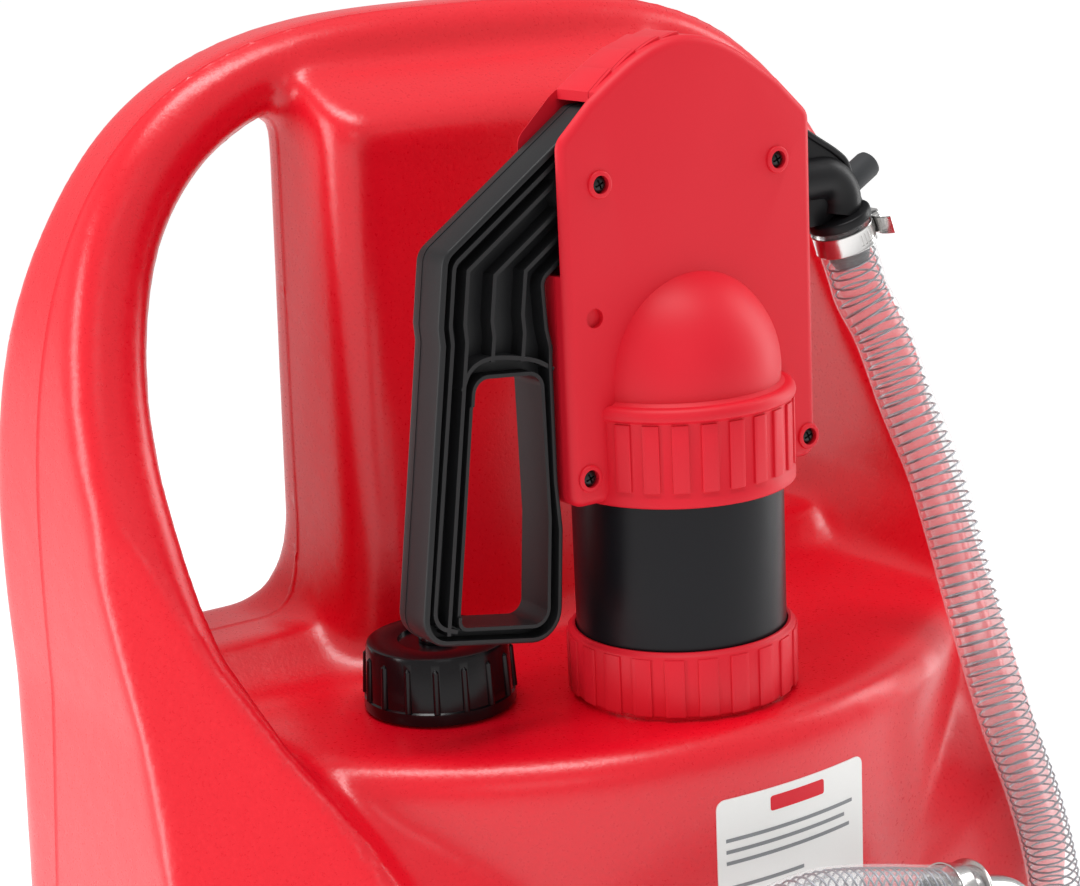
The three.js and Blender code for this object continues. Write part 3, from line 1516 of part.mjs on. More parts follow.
// A washer on the axle, from one x to its thickness further on.
function axleWasher(from) {
  return cut(
    sidePin(washerRadius, from, from + washerThickness, [wheelPlace, axleHeight]),
    sidePin(axleRadius + running, from - overrun, from + overrun, [wheelPlace, axleHeight]),
  );
}

function axleCap(side) {
  const low = wheelOut + washerThickness + 2 * seat;
  const cap = revolve([
    [0, 0], [axleCapRadius, 0], [axleCapRadius, axleCapEdge],
    [axleCapRadius - axleCapEdge, axleCapHeight], [0, axleCapHeight],
  ]);
  const hole = cylinder(axleRadius + running, -overrun, axleCapEdge);
  const right = cut(cap, hole).rotate([0, 90, 0]);
  const turned = side > 0 ? right : right.rotate([0, 0, 180]);
  return moved(turned, side * low, wheelPlace, axleHeight);
}

// Assembly

place("tank_shell", tankShell(), "red");
place("filler_cap", fillerCap(), "black");
place("cap_seal", capSeal(), "rubber");
place("vent_valve", ventValve(), "black");
place("coupling_ring", couplingRing(), "pumpRed");
place("pump_gasket", pumpGasket(), "rubber");
place("pump_cylinder", pumpCylinder(), "black");
place("pump_head", pumpHead(), "black");
place("rod_seal", rodSeal(), "rubber");
place("housing_front", housingFront(), "pumpRed");
place("housing_rear", housingRear(), "pumpRed");
bosses.forEach((spot, i) => place(`housing_screw_${i + 1}`, housingScrew(spot), "steel"));
place("lever", lever(), "black");
place("pivot_bush", pivotBush(), "white");
place("rod_pin", rodPin(), "steel");
place("piston_rod", pistonRod(), "steel");
place("piston", piston(), "white");
place("piston_seal", pistonSeal(), "rubber");
place("piston_nut", pistonNut(), "steel");
place("piston_valve", pistonValve(), "rubber");
place("foot_valve_disc", footValveDisc(), "rubber");
place("foot_valve_cage", footValveCage(), "white");
place("suction_tube", suctionTube(), "grey");
place("suction_strainer", suctionStrainer(), "black");
place("outlet_elbow", outletElbow(), "black");
place("vacuum_breaker", vacuumBreaker(), "grey");
place("hose", hoseForm(), "clear", true);
place("hose_clamp_pump", onOutlet(clampForm(), pumpClampPlace), "steel");
place("hose_clamp_spout", onSpout(clampForm(), barbLength / 2), "steel");
place("clamp_screw_pump", onOutlet(clampScrewForm(), pumpClampPlace), "steel");
place("clamp_screw_spout", onSpout(clampScrewForm(), barbLength / 2), "steel");
place("discharge_spout", dischargeSpout(), "steel");
place("spout_holder", spoutHolder(), "black");
holderScrewSpots.forEach((spot, i) => place(`holder_screw_${i + 1}`, holderScrew(spot), "steel"));
place("axle", axle(), "steel");
for (const [name, side] of [["right", 1], ["left", -1]]) {
  place(`wheel_hub_${name}`, atWheel(wheelHub(), side), "black");
  place(`tyre_${name}`, atWheel(tyre(), side), "rubber");
  const outside = wheelOut + seat;
  const inside = wheelIn - seat - washerThickness;
  const onSide = (from) => axleWasher(side > 0 ? from : -from - washerThickness);
  place(`outer_washer_${name}`, onSide(outside), "steel");
  place(`inner_washer_${name}`, onSide(inside), "steel");
  place(`axle_cap_${name}`, axleCap(side), "black");
}

// The origin is under the middle of the tank, on the floor.
const bounds = new THREE.Box3();
rigidMeshes.forEach((mesh) => bounds.expandByObject(mesh));
const centre = bounds.getCenter(new THREE.Vector3());
model.position.set(-centre.x, -centre.y, -bounds.min.z);
console.log("shift", model.position.toArray().map((value) => value.toFixed(3)).join(" "));
console.log("size", bounds.getSize(new THREE.Vector3()).toArray().map((value) => value.toFixed(2)).join(" "));

export default model;
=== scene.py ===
# %% [markdown]
# A mobile fuel tank with a hand pump.
# The imported model is the skeleton: every piece sits at its true place and keeps its size. This
# lesson dresses it: it makes the smooth moulded shapes that facets can't show, and gives every
# piece the finish of the real one. We start by loading the frame.

import json
import math

import bmesh
import bpy
import numpy as np
from mathutils import Matrix, Vector

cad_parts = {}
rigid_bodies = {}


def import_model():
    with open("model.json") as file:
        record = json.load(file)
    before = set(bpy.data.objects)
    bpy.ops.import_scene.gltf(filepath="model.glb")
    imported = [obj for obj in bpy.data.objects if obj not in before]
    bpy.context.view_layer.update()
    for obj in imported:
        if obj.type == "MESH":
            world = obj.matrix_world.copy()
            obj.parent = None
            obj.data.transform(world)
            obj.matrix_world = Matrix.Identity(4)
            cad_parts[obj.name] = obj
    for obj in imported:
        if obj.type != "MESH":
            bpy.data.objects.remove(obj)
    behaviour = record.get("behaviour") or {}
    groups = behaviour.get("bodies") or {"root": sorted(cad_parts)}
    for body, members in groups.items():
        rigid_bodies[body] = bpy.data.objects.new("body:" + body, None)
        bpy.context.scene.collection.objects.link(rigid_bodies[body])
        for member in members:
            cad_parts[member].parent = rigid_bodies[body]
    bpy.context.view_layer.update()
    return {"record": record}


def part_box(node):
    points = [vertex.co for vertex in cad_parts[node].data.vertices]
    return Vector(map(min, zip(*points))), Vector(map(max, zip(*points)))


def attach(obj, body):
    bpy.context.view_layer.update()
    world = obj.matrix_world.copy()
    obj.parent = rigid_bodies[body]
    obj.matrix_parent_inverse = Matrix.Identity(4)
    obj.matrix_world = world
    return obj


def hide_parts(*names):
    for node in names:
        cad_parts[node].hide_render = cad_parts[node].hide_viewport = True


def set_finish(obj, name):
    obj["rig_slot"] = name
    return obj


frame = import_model()
mm = 0.001

# %% [markdown]
# The pump's axis is the handiest origin for this object: almost every size on a drawing of it is
# taken from the top of the red ring that holds the pump down. The frame tells us where that is.
# Everything below is worked out in millimetres from there, and moved into the frame at the end.

# %% The pump's axis as origin
ring_low, ring_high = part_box("coupling_ring")
pump_origin = Vector(((ring_low.x + ring_high.x) / 2, (ring_low.y + ring_high.y) / 2, ring_high.z))
to_frame = Matrix.Translation(pump_origin) @ Matrix.Scale(mm, 4)


def at(x, y, z):
    """A point given in millimetres from the pump's origin, in the frame's metres."""
    return to_frame @ Vector((x, y, z))


print("pump origin", tuple(round(v, 5) for v in pump_origin))

# %% [markdown]
# The camera stands left of the front, a little above the handle, with a long lens. Its roll is
# small but real: the photograph was taken with the camera tilted by almost three degrees.

# %% Camera
camera_place = at(-587.9, -784.9, 326)
camera_heading = math.radians(33.5)
camera_pitch = math.radians(14.12)
camera_roll = math.radians(-2.68)
focal_length = 80

camera_data = bpy.data.cameras.new("camera")
camera_data.lens = focal_length
camera_data.sensor_width = 36
camera_data.clip_start = 0.05
camera = bpy.data.objects.new("camera", camera_data)
bpy.context.scene.collection.objects.link(camera)
camera.matrix_world = (
    Matrix.Translation(camera_place)
    @ Matrix.Rotation(-camera_heading, 4, "Z")
    @ Matrix.Rotation(math.pi / 2 - camera_pitch, 4, "X")
    @ Matrix.Rotation(camera_roll, 4, "Z")
)
bpy.context.scene.camera = camera
print("camera", tuple(round(v, 3) for v in camera.location))

# %% [markdown]
# The hose is a clear tube with a steel wire wound inside its wall. It leaves the elbow downward,
# hangs in front of the tank, turns in one loose loop and comes back to the spout in its holder.
# The route is a list of given points, the same that the solid follows, and a
# centripetal curve through them keeps the bends even.

# %% The hose's route
outlet_centre = Vector((91.5, 0, 162))
outlet_tilt = math.radians(20)
spout_start = Vector((55, -95, -111.5))
spout_slope = math.radians(17)
hose_radius = 12.5


def outlet_point(distance):
    return outlet_centre + distance * Vector((math.sin(outlet_tilt), 0, -math.cos(outlet_tilt)))


def spout_point(distance):
    return spout_start + distance * Vector((math.cos(spout_slope), 0, -math.sin(spout_slope)))


hose_points = [
    outlet_point(3.3), outlet_point(15.8), outlet_point(28.3), outlet_point(38.3),
    (110, -6, 110), (117.5, -14, 78), (124, -26, 45), (128.5, -45, -13), (133, -60, -60),
    (147, -66, -105), (159, -66.5, -151), (162, -67, -220), (162, -67, -300), (158, -68, -390),
    (142, -70, -460), (105, -74, -515), (55, -80, -543), (10, -82, -550), (-40, -82, -538),
    (-88, -82, -500), (-118, -82, -440), (-127, -83, -370), (-127, -85, -290), (-125, -88, -225),
    (-110, -91, -165), (-80, -93.5, -122), (-43, -95, -100), (-10, -95, -95),
    spout_point(-25), spout_point(-12.5), spout_point(20),
]


def centripetal(points, steps):
    """A smooth line through the points: a Catmull-Rom curve with centripetal spacing."""
    points = [Vector(p) for p in points]
    ends = [2 * points[0] - points[1], *points, 2 * points[-1] - points[-2]]
    line = []
    for p0, p1, p2, p3 in zip(ends, ends[1:], ends[2:], ends[3:]):
        t01 = (p1 - p0).length ** 0.5
        t12 = (p2 - p1).length ** 0.5
        t23 = (p3 - p2).length ** 0.5
        m1 = (p2 - p1) + t12 * ((p1 - p0) / t01 - (p2 - p0) / (t01 + t12))
        m2 = (p2 - p1) + t12 * ((p3 - p2) / t23 - (p3 - p1) / (t12 + t23))
        for k in range(steps):
            s = k / steps
            line.append(
                (2 * s**3 - 3 * s**2 + 1) * p1 + (s**3 - 2 * s**2 + s) * m1
                + (3 * s**2 - 2 * s**3) * p2 + (s**3 - s**2) * m2
            )
    return [*line, points[-1]]


hose_line = centripetal(hose_points, 12)
hose_length = sum((b - a).length for a, b in zip(hose_line, hose_line[1:]))
print("hose length", round(hose_length, 1), "mm")

# %% [markdown]
# Four small helpers make nearly every mesh in this lesson: a skin over rings (for lofted
# shapes), a turned shape (spun round an axis like on a lathe), a plate (an outline pushed out to a
# thickness) and a tube along a line. A bevel over the sharp edges then gives each moulded part
# the small radius that catches the light.

# %% Mesh helpers
def ring_of(bm, points):
    """A closed ring of edges through the points."""
    verts = [bm.verts.new(p) for p in points]
    return [bm.edges.new(pair) for pair in zip(verts, verts[1:] + verts[:1])]


def outward(bm):
    bmesh.ops.remove_doubles(bm, verts=bm.verts, dist=0.0005)
    bmesh.ops.recalc_face_normals(bm, faces=bm.faces)
    return bm


def skin_over(rings, capped=True):
    """A mesh over rings of equally many points, closed at both ends."""
    bm = bmesh.new()
    loops = [ring_of(bm, points) for points in rings]
    for near, far in zip(loops, loops[1:]):
        bmesh.ops.bridge_loops(bm, edges=near + far)
    if capped:
        for loop in (loops[0], loops[-1]):
            bmesh.ops.contextual_create(bm, geom=loop)
    return outward(bm)


def turned(profile, steps=64):
    """A shape spun round the Z axis from (radius, height) points."""
    bm = bmesh.new()
    verts = [bm.verts.new((radius, 0, height)) for radius, height in profile]
    edges = [bm.edges.new(pair) for pair in zip(verts, verts[1:])]
    bmesh.ops.spin(
        bm, geom=verts + edges, cent=(0, 0, 0), axis=(0, 0, 1), angle=2 * math.pi, steps=steps,
        use_merge=True,
    )
    return outward(bm)


def disc(radius, low, high, steps=48):
    return turned([(0, low), (radius, low), (radius, high), (0, high)], steps)


def ring_solid(outer, inner, low, high, steps=96):
    """A plain ring round the Z axis."""
    return turned([(inner, low), (outer, low), (outer, high), (inner, high), (inner, low)], steps)


def box_outline(left, low, right, high, radius=0):
    """The four corners of a rectangle, rounded where a radius is given."""
    return rounded([(left, low, radius), (right, low, radius), (right, high, radius), (left, high, radius)])


def pushed(corners, way):
    """An outline of 3D points, pushed out along a vector to a closed block."""
    bm = bmesh.new()
    face = bm.faces.new([bm.verts.new(p) for p in corners])
    grown = bmesh.ops.extrude_face_region(bm, geom=[face])
    bmesh.ops.translate(
        bm, verts=[g for g in grown["geom"] if isinstance(g, bmesh.types.BMVert)], vec=way)
    return outward(bm)


def upright(outline, front, rear):
    """A plate whose (x, z) outline stands upright, between two y values."""
    return pushed([(x, front, z) for x, z in outline], (0, rear - front, 0))


def flat(outline, low, high):
    """A plate whose (x, y) outline lies flat, between two heights."""
    return pushed([(x, y, low) for x, y in outline], (0, 0, high - low))


def soften(bm, width, segments=3, angle=30, choose=lambda edge: True):
    """Rounds every edge that is sharper than the angle."""
    edges = [
        e for e in bm.edges
        if len(e.link_faces) == 2 and e.calc_face_angle() > math.radians(angle) and choose(e)
    ]
    bmesh.ops.bevel(
        bm, geom=edges, offset=width, segments=segments, profile=0.5, affect="EDGES",
        material=-1, clamp_overlap=True,
    )
    return bm


def rounded(corners, steps=6):
    """An outline of (x, y, radius) corners, each rounded by its radius."""
    points = []
    for i, (x, y, *rest) in enumerate(corners):
        corner = Vector((x, y))
        radius = rest[0] if rest else 0
        if not radius:
            points.append(corner)
            continue
        back = (Vector(corners[i - 1][:2]) - corner).normalized()
        ahead = (Vector(corners[(i + 1) % len(corners)][:2]) - corner).normalized()
        half = back.angle(ahead) / 2
        centre = corner + (back + ahead).normalized() * radius / math.sin(half)
        start = corner + back * radius / math.tan(half) - centre
        end = corner + ahead * radius / math.tan(half) - centre
        turn = (math.atan2(end.y, end.x) - math.atan2(start.y, start.x) + math.pi) % (2 * math.pi) - math.pi
        points.extend(centre + Matrix.Rotation(turn * k / steps, 2) @ start for k in range(steps + 1))
    return [tuple(p) for p in points]


def frames_along(line):
    """Each point of a line with two directions across it, carried along without twist."""
    side = Vector((0, 1, 0))
    for i, point in enumerate(line):
        ahead = (line[min(i + 1, len(line) - 1)] - line[max(i - 1, 0)]).normalized()
        side = (side - side.dot(ahead) * ahead).normalized()
        yield point, side, ahead.cross(side)


def tube_rings(line, radius, sides):
    """Rings round a line; the radius is a number, or a function of the ring's place in the line."""
    turns = [2 * math.pi * k / sides for k in range(sides)]
    rings = []
    for i, (point, side, up) in enumerate(frames_along(line)):
        size = radius(i) if callable(radius) else radius
        rings.append([point + size * (math.cos(a) * side + math.sin(a) * up) for a in turns])
    return rings


def tube_wall(outer, inner):
    """A tube with a wall, from its outer and its inner rings."""
    bm = bmesh.new()
    loops = [ring_of(bm, ring) for ring in (*outer, *reversed(inner))]
    for near, far in zip(loops, loops[1:] + loops[:1]):
        bmesh.ops.bridge_loops(bm, edges=near + far)
    return outward(bm)


def placed(bm, matrix):
    bmesh.ops.transform(bm, matrix=matrix, verts=bm.verts)
    return bm


def moved(bm, x, y, z):
    return placed(bm, Matrix.Translation((x, y, z)))


def mirrored(bm, side):
    """The shape itself for side 1, its mirror image in x for side -1."""
    if side < 0:
        placed(bm, Matrix.Scale(-1, 4, (1, 0, 0)))
        bmesh.ops.reverse_faces(bm, faces=bm.faces)
    return bm


def gathered(*parts):
    """One mesh that holds them all."""
    whole = bmesh.new()
    for part in parts:
        mesh = bpy.data.meshes.new("part")
        part.to_mesh(mesh)
        part.free()
        whole.from_mesh(mesh)
        bpy.data.meshes.remove(mesh)
    return whole


def as_object(bm, name):
    mesh = bpy.data.meshes.new(name)
    bm.to_mesh(mesh)
    bm.free()
    made = bpy.data.objects.new(name, mesh)
    bpy.context.scene.collection.objects.link(made)
    return made


def carved(bm, tool, how="DIFFERENCE"):
    """The mesh after a boolean with a tool mesh."""
    base, cutter = as_object(bm, "base"), as_object(tool, "cutter")
    change = base.modifiers.new("cut", "BOOLEAN")
    change.object, change.operation, change.solver = cutter, how, "EXACT"
    change.use_self = True
    result = bmesh.new()
    result.from_object(base, bpy.context.evaluated_depsgraph_get())
    for temporary in (base, cutter):
        mesh = temporary.data
        bpy.data.objects.remove(temporary)
        bpy.data.meshes.remove(mesh)
    bmesh.ops.remove_doubles(result, verts=result.verts, dist=0.002)
    return result


print("helpers ready")

# %% [markdown]
# The tank itself is rotomoulded: plastic powder melts onto the inside of a turning mould, so the
# whole shell is one skin and every inside corner is filled by a generous radius. We loft the
# plain forms first (the arch, the body, the bulging front, the column between the two grips and
# the floor of the grips), with the sizes of the solid but far more rings. A slanted block then
# takes the front outer corners off, where the real tank narrows towards its front.

# %% The tank's plain forms
shelf = -29.5
ground = -630
arch_rise = 257
arm_reach = arch_rise - shelf
body_half, body_front, body_rear = 237, -52, 210
arch_half, arch_front, arch_rear = 227, 140, 186
arm_round = 15
leg_depth = 165

sweep = [
    (-0.39, 0), (-0.28, 0.01), (-0.18, 0.05), (-0.07, 0.14), (0.03, 0.3), (0.1, 0.43), (0.21, 0.59),
    (0.31, 0.69), (0.42, 0.79), (0.52, 0.85), (0.63, 0.9), (0.75, 0.95), (1, 1),
]
rear_sweep = [(0, 0.1), (0.35, 0.15), (0.55, 0.4), (0.75, 0.9), (1, 1)]
root = [
    (-0.6, 5), (-0.39, 4.9), (-0.28, 3.5), (-0.18, 2.35), (-0.07, 1.8), (0.03, 1.25), (0.1, 1.03), (0.2, 1)]
soft = [(-0.6, 6.5), (-0.39, 6.4), (-0.28, 4), (-0.18, 2.4), (-0.07, 1.6), (0.1, 1.1), (0.3, 1)]
crease = [(-0.39, 1), (-0.28, 1.6), (-0.18, 2), (-0.07, 1.6), (0.1, 1.1), (0.3, 1)]
rump = [(-0.6, 2.7), (-0.39, 2.6), (-0.07, 1.8), (0.1, 1.2), (0.3, 1)]
flare = [(-0.39, 1), (-0.28, 0.7), (0.03, 0)]


def follow(shares, place):
    """Value at a place in a list of (place, value) shares, smoothed between them."""
    spread = 0.045
    places, values = zip(*shares)
    return sum(np.interp(place + spread * k / 2, places, values) for k in (-2, -1, 0, 1, 2)) / 5


def rectangle(left, right, front, rear, radii, steps=8):
    """A rounded rectangle's (x, y) points; radii are front left, front right, rear right, rear left."""
    a, b, c, d = radii
    corners = [(left + a, front + a, a, 2), (right - b, front + b, b, 3), (right - c, rear - c, c, 0),
               (left + d, rear - d, d, 1)]
    return [
        (x + r * math.cos(t), y + r * math.sin(t))
        for x, y, r, quarter in corners
        for t in ((quarter + k / steps) * math.pi / 2 for k in range(steps + 1))
    ]


def level(outline, z):
    return [(x, y, z) for x, y in outline]


def edge_round(edge, radius, way, steps=6):
    """Heights and insets over a rounded edge."""
    turns = [k / steps * math.pi / 2 for k in range(steps + 1)]
    return [(edge + way * radius * (1 - math.cos(t)), radius * (1 - math.sin(t))) for t in turns]


def body_form():
    foot = ground + 12
    plain = [(z, 0) for z in (-300, -196, -194, -150, -128, -108, -87, -60)]
    heights = [*edge_round(foot, 16, 1), *plain, *reversed(edge_round(shelf, 14, -1))]
    rings = []
    for z, inset in heights:
        half = body_half - (inset if z < -300 else 0) - (arm_round if z > shelf - leg_depth else 0)
        lean = 1.6 * follow(sweep, (z - shelf) / arm_reach) * (arch_front - body_front) if z > -200 else 0
        front = body_front + lean + (inset if z < -300 else 0)
        rings.append(level(rectangle(-half, half, front, body_rear - inset, (95, 95, 38, 38), 12), z))
    return skin_over(rings)


def nose_form():
    rings = []
    for z, inset in [*edge_round(ground + 12, 16, 1), *reversed(edge_round(shelf, 14, -1))]:
        radius = 226 - inset
        turns = [math.radians(54) * (2 * k / 60 - 1) for k in range(61)]
        arc = [(3 + radius * math.sin(t), 160 - radius * math.cos(t)) for t in turns]
        rings.append(level([*arc, (arc[-1][0], 160), (arc[0][0], 160)], z))
    return skin_over(rings)


def arch_form():
    power, centre, steps = 3.1, shelf + 9.5, 88
    down = (-0.6, -0.5, -0.39, -0.33, -0.28, -0.23, -0.18, -0.13, -0.07, -0.02)
    legs = [shelf + s * arm_reach for s in down]
    leg_half = lambda z: arch_half + (body_half - arch_half) * follow(flare, (z - shelf) / arm_reach)
    stations = [(leg_half(z), z, 1, 0) for z in legs]
    for k in range(steps + 1):
        turn = k / steps * math.pi
        x = arch_half * math.copysign(abs(math.cos(turn)) ** (2 / power), math.cos(turn))
        rise = arch_rise - centre
        z = centre + rise * abs(math.sin(turn)) ** (2 / power)
        normal = Vector((
            math.copysign(abs(x / arch_half) ** (power - 1), x) / arch_half,
            ((z - centre) / rise) ** (power - 1) / rise,
        )).normalized()
        stations.append((x, z, normal.x, normal.y))
    stations += [(-leg_half(z), z, -1, 0) for z in reversed(legs)]
    rings = []
    for x, z, out_x, out_z in stations:
        share = (z - shelf) / arm_reach
        front = body_front + follow(sweep, share) * (arch_front - body_front)
        rear = body_rear + follow(rear_sweep, share) * (arch_rear - body_rear)
        width = 30 + 7 * abs(out_x)
        radii = [arm_round * follow(s, share) for s in (soft, crease)]
        radii += [arm_round, arm_round * follow(rump, share)]
        outline = rectangle(0, width * follow(root, share), front, rear, radii)
        rings.append([(x - out_x * inward, y, z - out_z * inward) for inward, y in outline])
    return skin_over(rings)


def column_form():
    """The block behind the pump; its foot spreads sideways into the floor of each grip."""
    rings = []
    for z, front, corner, spread, rear in [
            (-110, 99, 16, 33, 180), (-9.5, 99, 16, 33, 180), (-5, 99, 16, 22, 178), (0, 99, 16, 18, 176),
            (8, 99, 16, 14, 173), (16, 99, 16, 11.5, 171), (30, 99, 16, 9.5, 169), (196, 99, 16, 4, 168),
            (204, 98, 16, 4, 168), (211, 99.5, 15, 4, 168), (217, 105, 14, 4, 168), (224, 117, 12, 4, 168),
            (232, 133, 9, 2, 168), (239, 148, 6, 0, 168)]:
        outline = rectangle(-97, 97, front, rear, (corner, corner, min(16, corner), min(16, corner)))
        lean = lambda y: spread * (y - front) / (rear - front)
        rings.append(level([(x + math.copysign(lean(y), x), y) for x, y in outline], z))
    return skin_over(rings)


def saddle_form():
    half = arch_half - 18.5
    shares = [
        (-4, 0, 0), (0.03, 0.2, 0), (0.12, 0.4, 0.05), (0.3, 0.56, 0.1), (0.5, 0.7, 0.2), (0.8, 0.86, 0.5),
        (1, 1, 1)]
    rings = []
    for up, forward, behind in shares:
        front, rear = 125 - (1 - forward) * 38, 192 - behind * 14
        rings.append(level(rectangle(-half, half, front, rear, (8, 8, 8, 8)), shelf + up * 20))
    return skin_over(rings)


wheel_y, wheel_z, wheel_radius = 147, ground + 100, 100
lathe_to_x = Matrix.Rotation(math.pi / 2, 4, "Y")


def well_form(side):
    """The room for a wheel: a disc in the body's side, open below and behind."""
    inner, outer, room = 181, 250, wheel_radius + 11
    wheel_room = placed(disc(room, inner, outer, 96), lathe_to_x)
    wheel_room = moved(wheel_room, 0, wheel_y, wheel_z)
    front, behind, foot = wheel_y - room, 260, ground - 9
    below = pushed(
        [(inner, front, foot), (inner, behind, foot), (inner, behind, wheel_z), (inner, front, wheel_z)],
        (outer - inner, 0, 0))
    return mirrored(carved(wheel_room, below, "UNION"), side)


corner_slant, corner_x = 1.07, 222
corner_reach = [
    (-190, -30), (-127, 2), (-96, 15), (-68, 28), (-31, 47), (-7, 59), (44, 85), (70, 92), (100, 95),
    (125, 97)]


def corner_cut(side):
    """The slanted block that takes the front outer corner off the body and the foot of a leg."""
    rings = []
    near, far = 60, 300
    for z, reach in corner_reach:
        edge = lambda x: reach + corner_slant * (x - corner_x)
        rings.append(level([(near, edge(near)), (far, edge(far)), (far, -400), (near, -400)], z))
    return mirrored(skin_over(rings), side)


body, arch = [carved(carved(form, corner_cut(1)), corner_cut(-1)) for form in (body_form(), arch_form())]
forms = [body, nose_form(), arch, column_form(), saddle_form()]
print("plain forms", [len(f.faces) for f in forms], "faces")
# %% [markdown]
# Now the forms become one skin. A voxel remesh melts them together, and a few dozen passes of
# smoothing work only where a corner is tighter than the mould allows: inside corners grow a
# radius of about 22 mm, outside ones about 9 mm, and flat or gently curved faces stay put.

# %% One moulded skin
voxel = 3.9
inside_radius, outside_radius = 22, 9


def smooth_skin(bm, passes=110):
    """Moves points along their normals where the surface bends tighter than a mould can."""
    mesh = bpy.data.meshes.new("skin")
    bm.to_mesh(mesh)
    bm.free()
    count = len(mesh.vertices)
    edges = np.zeros(len(mesh.edges) * 2, np.int64)
    mesh.edges.foreach_get("vertices", edges)
    ends = edges.reshape(-1, 2)
    degree = np.bincount(edges, minlength=count)[:, None]
    places = np.zeros(count * 3)
    mesh.vertices.foreach_get("co", places)
    places = places.reshape(-1, 3)
    normals = np.zeros(count * 3)
    bend = voxel * voxel / 4

    def pull_of(places):
        """The way from each point to the middle of its neighbours."""
        total = np.stack([
            np.bincount(ends[:, 0], places[ends[:, 1], axis], count)
            + np.bincount(ends[:, 1], places[ends[:, 0], axis], count)
            for axis in range(3)
        ], axis=1)
        return total / degree - places

    for turn in range(passes):
        if turn % 5 == 0:
            mesh.vertices.foreach_set("co", places.ravel())
            mesh.update()
            mesh.vertex_normals.foreach_get("vector", normals)
            across = normals.reshape(-1, 3)
        pull = pull_of(places)
        rise = (pull * across).sum(1, keepdims=True)
        extra = np.maximum(rise - bend / inside_radius, 0) + np.minimum(rise + bend / outside_radius, 0)
        places += 0.8 * extra * across + 0.25 * (pull - rise * across)
    for turn in range(3):
        places += 0.4 * pull_of(places)
    mesh.vertices.foreach_set("co", places.ravel())
    mesh.update()
    smooth = bmesh.new()
    smooth.from_mesh(mesh)
    bpy.data.meshes.remove(mesh)
    return smooth


def melted(bm):
    """The forms as one skin of even quads."""
    lump = as_object(bm, "lump")
    remesh = lump.modifiers.new("melt", "REMESH")
    remesh.mode, remesh.voxel_size = "VOXEL", voxel
    result = bmesh.new()
    result.from_object(lump, bpy.context.evaluated_depsgraph_get())
    mesh = lump.data
    bpy.data.objects.remove(lump)
    bpy.data.meshes.remove(mesh)
    return result


wells = [well_form(1), well_form(-1)]
forms[0] = carved(carved(forms[0], wells[0].copy()), wells[1].copy())
forms[1] = carved(carved(forms[1], wells[0]), wells[1])
pads = [
    flat(rectangle(side * 142 - 35, side * 142 + 35, -21.5, 12.5, (5, 5, 5, 5)), ground, ground + 16)
    for side in (-1, 1)
]
tank_bm = smooth_skin(melted(gathered(*forms, *pads)))
print("tank skin", len(tank_bm.faces), "faces")
# %% [markdown]
# A piece is a finished mesh that rides on one of the model's bodies, takes its finish from one
# of the record's slots, and stands for the plain solids that it replaces.

# %% Pieces and their bodies
def make_piece(name, bm, body, slot, nodes=(), sharp=35):
    """Puts a mesh into the frame as a piece that rides on a body and stands for CAD nodes."""
    placed(bm, to_frame)
    piece = as_object(bm, name)
    piece.data.shade_smooth()
    if sharp:
        piece.data.set_sharp_from_angle(angle=math.radians(sharp))
    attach(piece, body)
    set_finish(piece, slot)
    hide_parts(*nodes)
    print(name, len(piece.data.polygons), "faces")
    return piece


# %% [markdown]
# The mould opens on a plane through the arch, and plastic creeps into the joint: a fine raised
# line runs all round the tank. Three cuts close together give it vertices of its own, and the
# middle ones are lifted along their normals.

# %% The mould's parting line
parting_y = 149


def add_parting_line(bm, rise=0.5, half=0.9):
    for y in (parting_y - half, parting_y, parting_y + half):
        bmesh.ops.bisect_plane(
            bm, geom=bm.verts[:] + bm.edges[:] + bm.faces[:], plane_co=(0, y, 0), plane_no=(0, 1, 0),
            dist=0.01)
    bm.normal_update()
    middle = [v for v in bm.verts if abs(v.co.y - parting_y) < 0.05 and abs(v.normal.y) < 0.8]
    for v in middle:
        v.co += Vector((v.normal.x, 0, v.normal.z)).normalized() * rise


add_parting_line(tank_bm)
cap_aside, cap_behind = -93.3, 48.3


def on_filler(bm):
    """Moves a shape from the pump's axis to the filler's."""
    return moved(bm, cap_aside, cap_behind, 0)


tank_bm = carved(tank_bm, on_filler(disc(22, -80, 0, 64)))
tank_bm = carved(tank_bm, disc(41.5, -90, 0, 96))
neck_foot = shelf - 3
necks = [on_filler(ring_solid(27, 22.1, neck_foot, -6, 64)), ring_solid(46.4, 41.6, neck_foot, -10.2)]
tank_bm = gathered(tank_bm, *[soften(neck, 0.8, 2) for neck in necks])
make_piece("tank_body", tank_bm, "tank", "tank_red", ["tank_shell"], sharp=0)

# %% [markdown]
# The hose is clear, so it needs a real wall: an outer and an inner skin. The steel wire inside
# that wall is a helix of about three hundred turns, made as one thin tube whose centre line
# winds round the route.

# %% Hose and its wire
hose_bore = 9.7
wire_radius, wire_pitch, wire_thick = 11.1, 4.6, 1.0


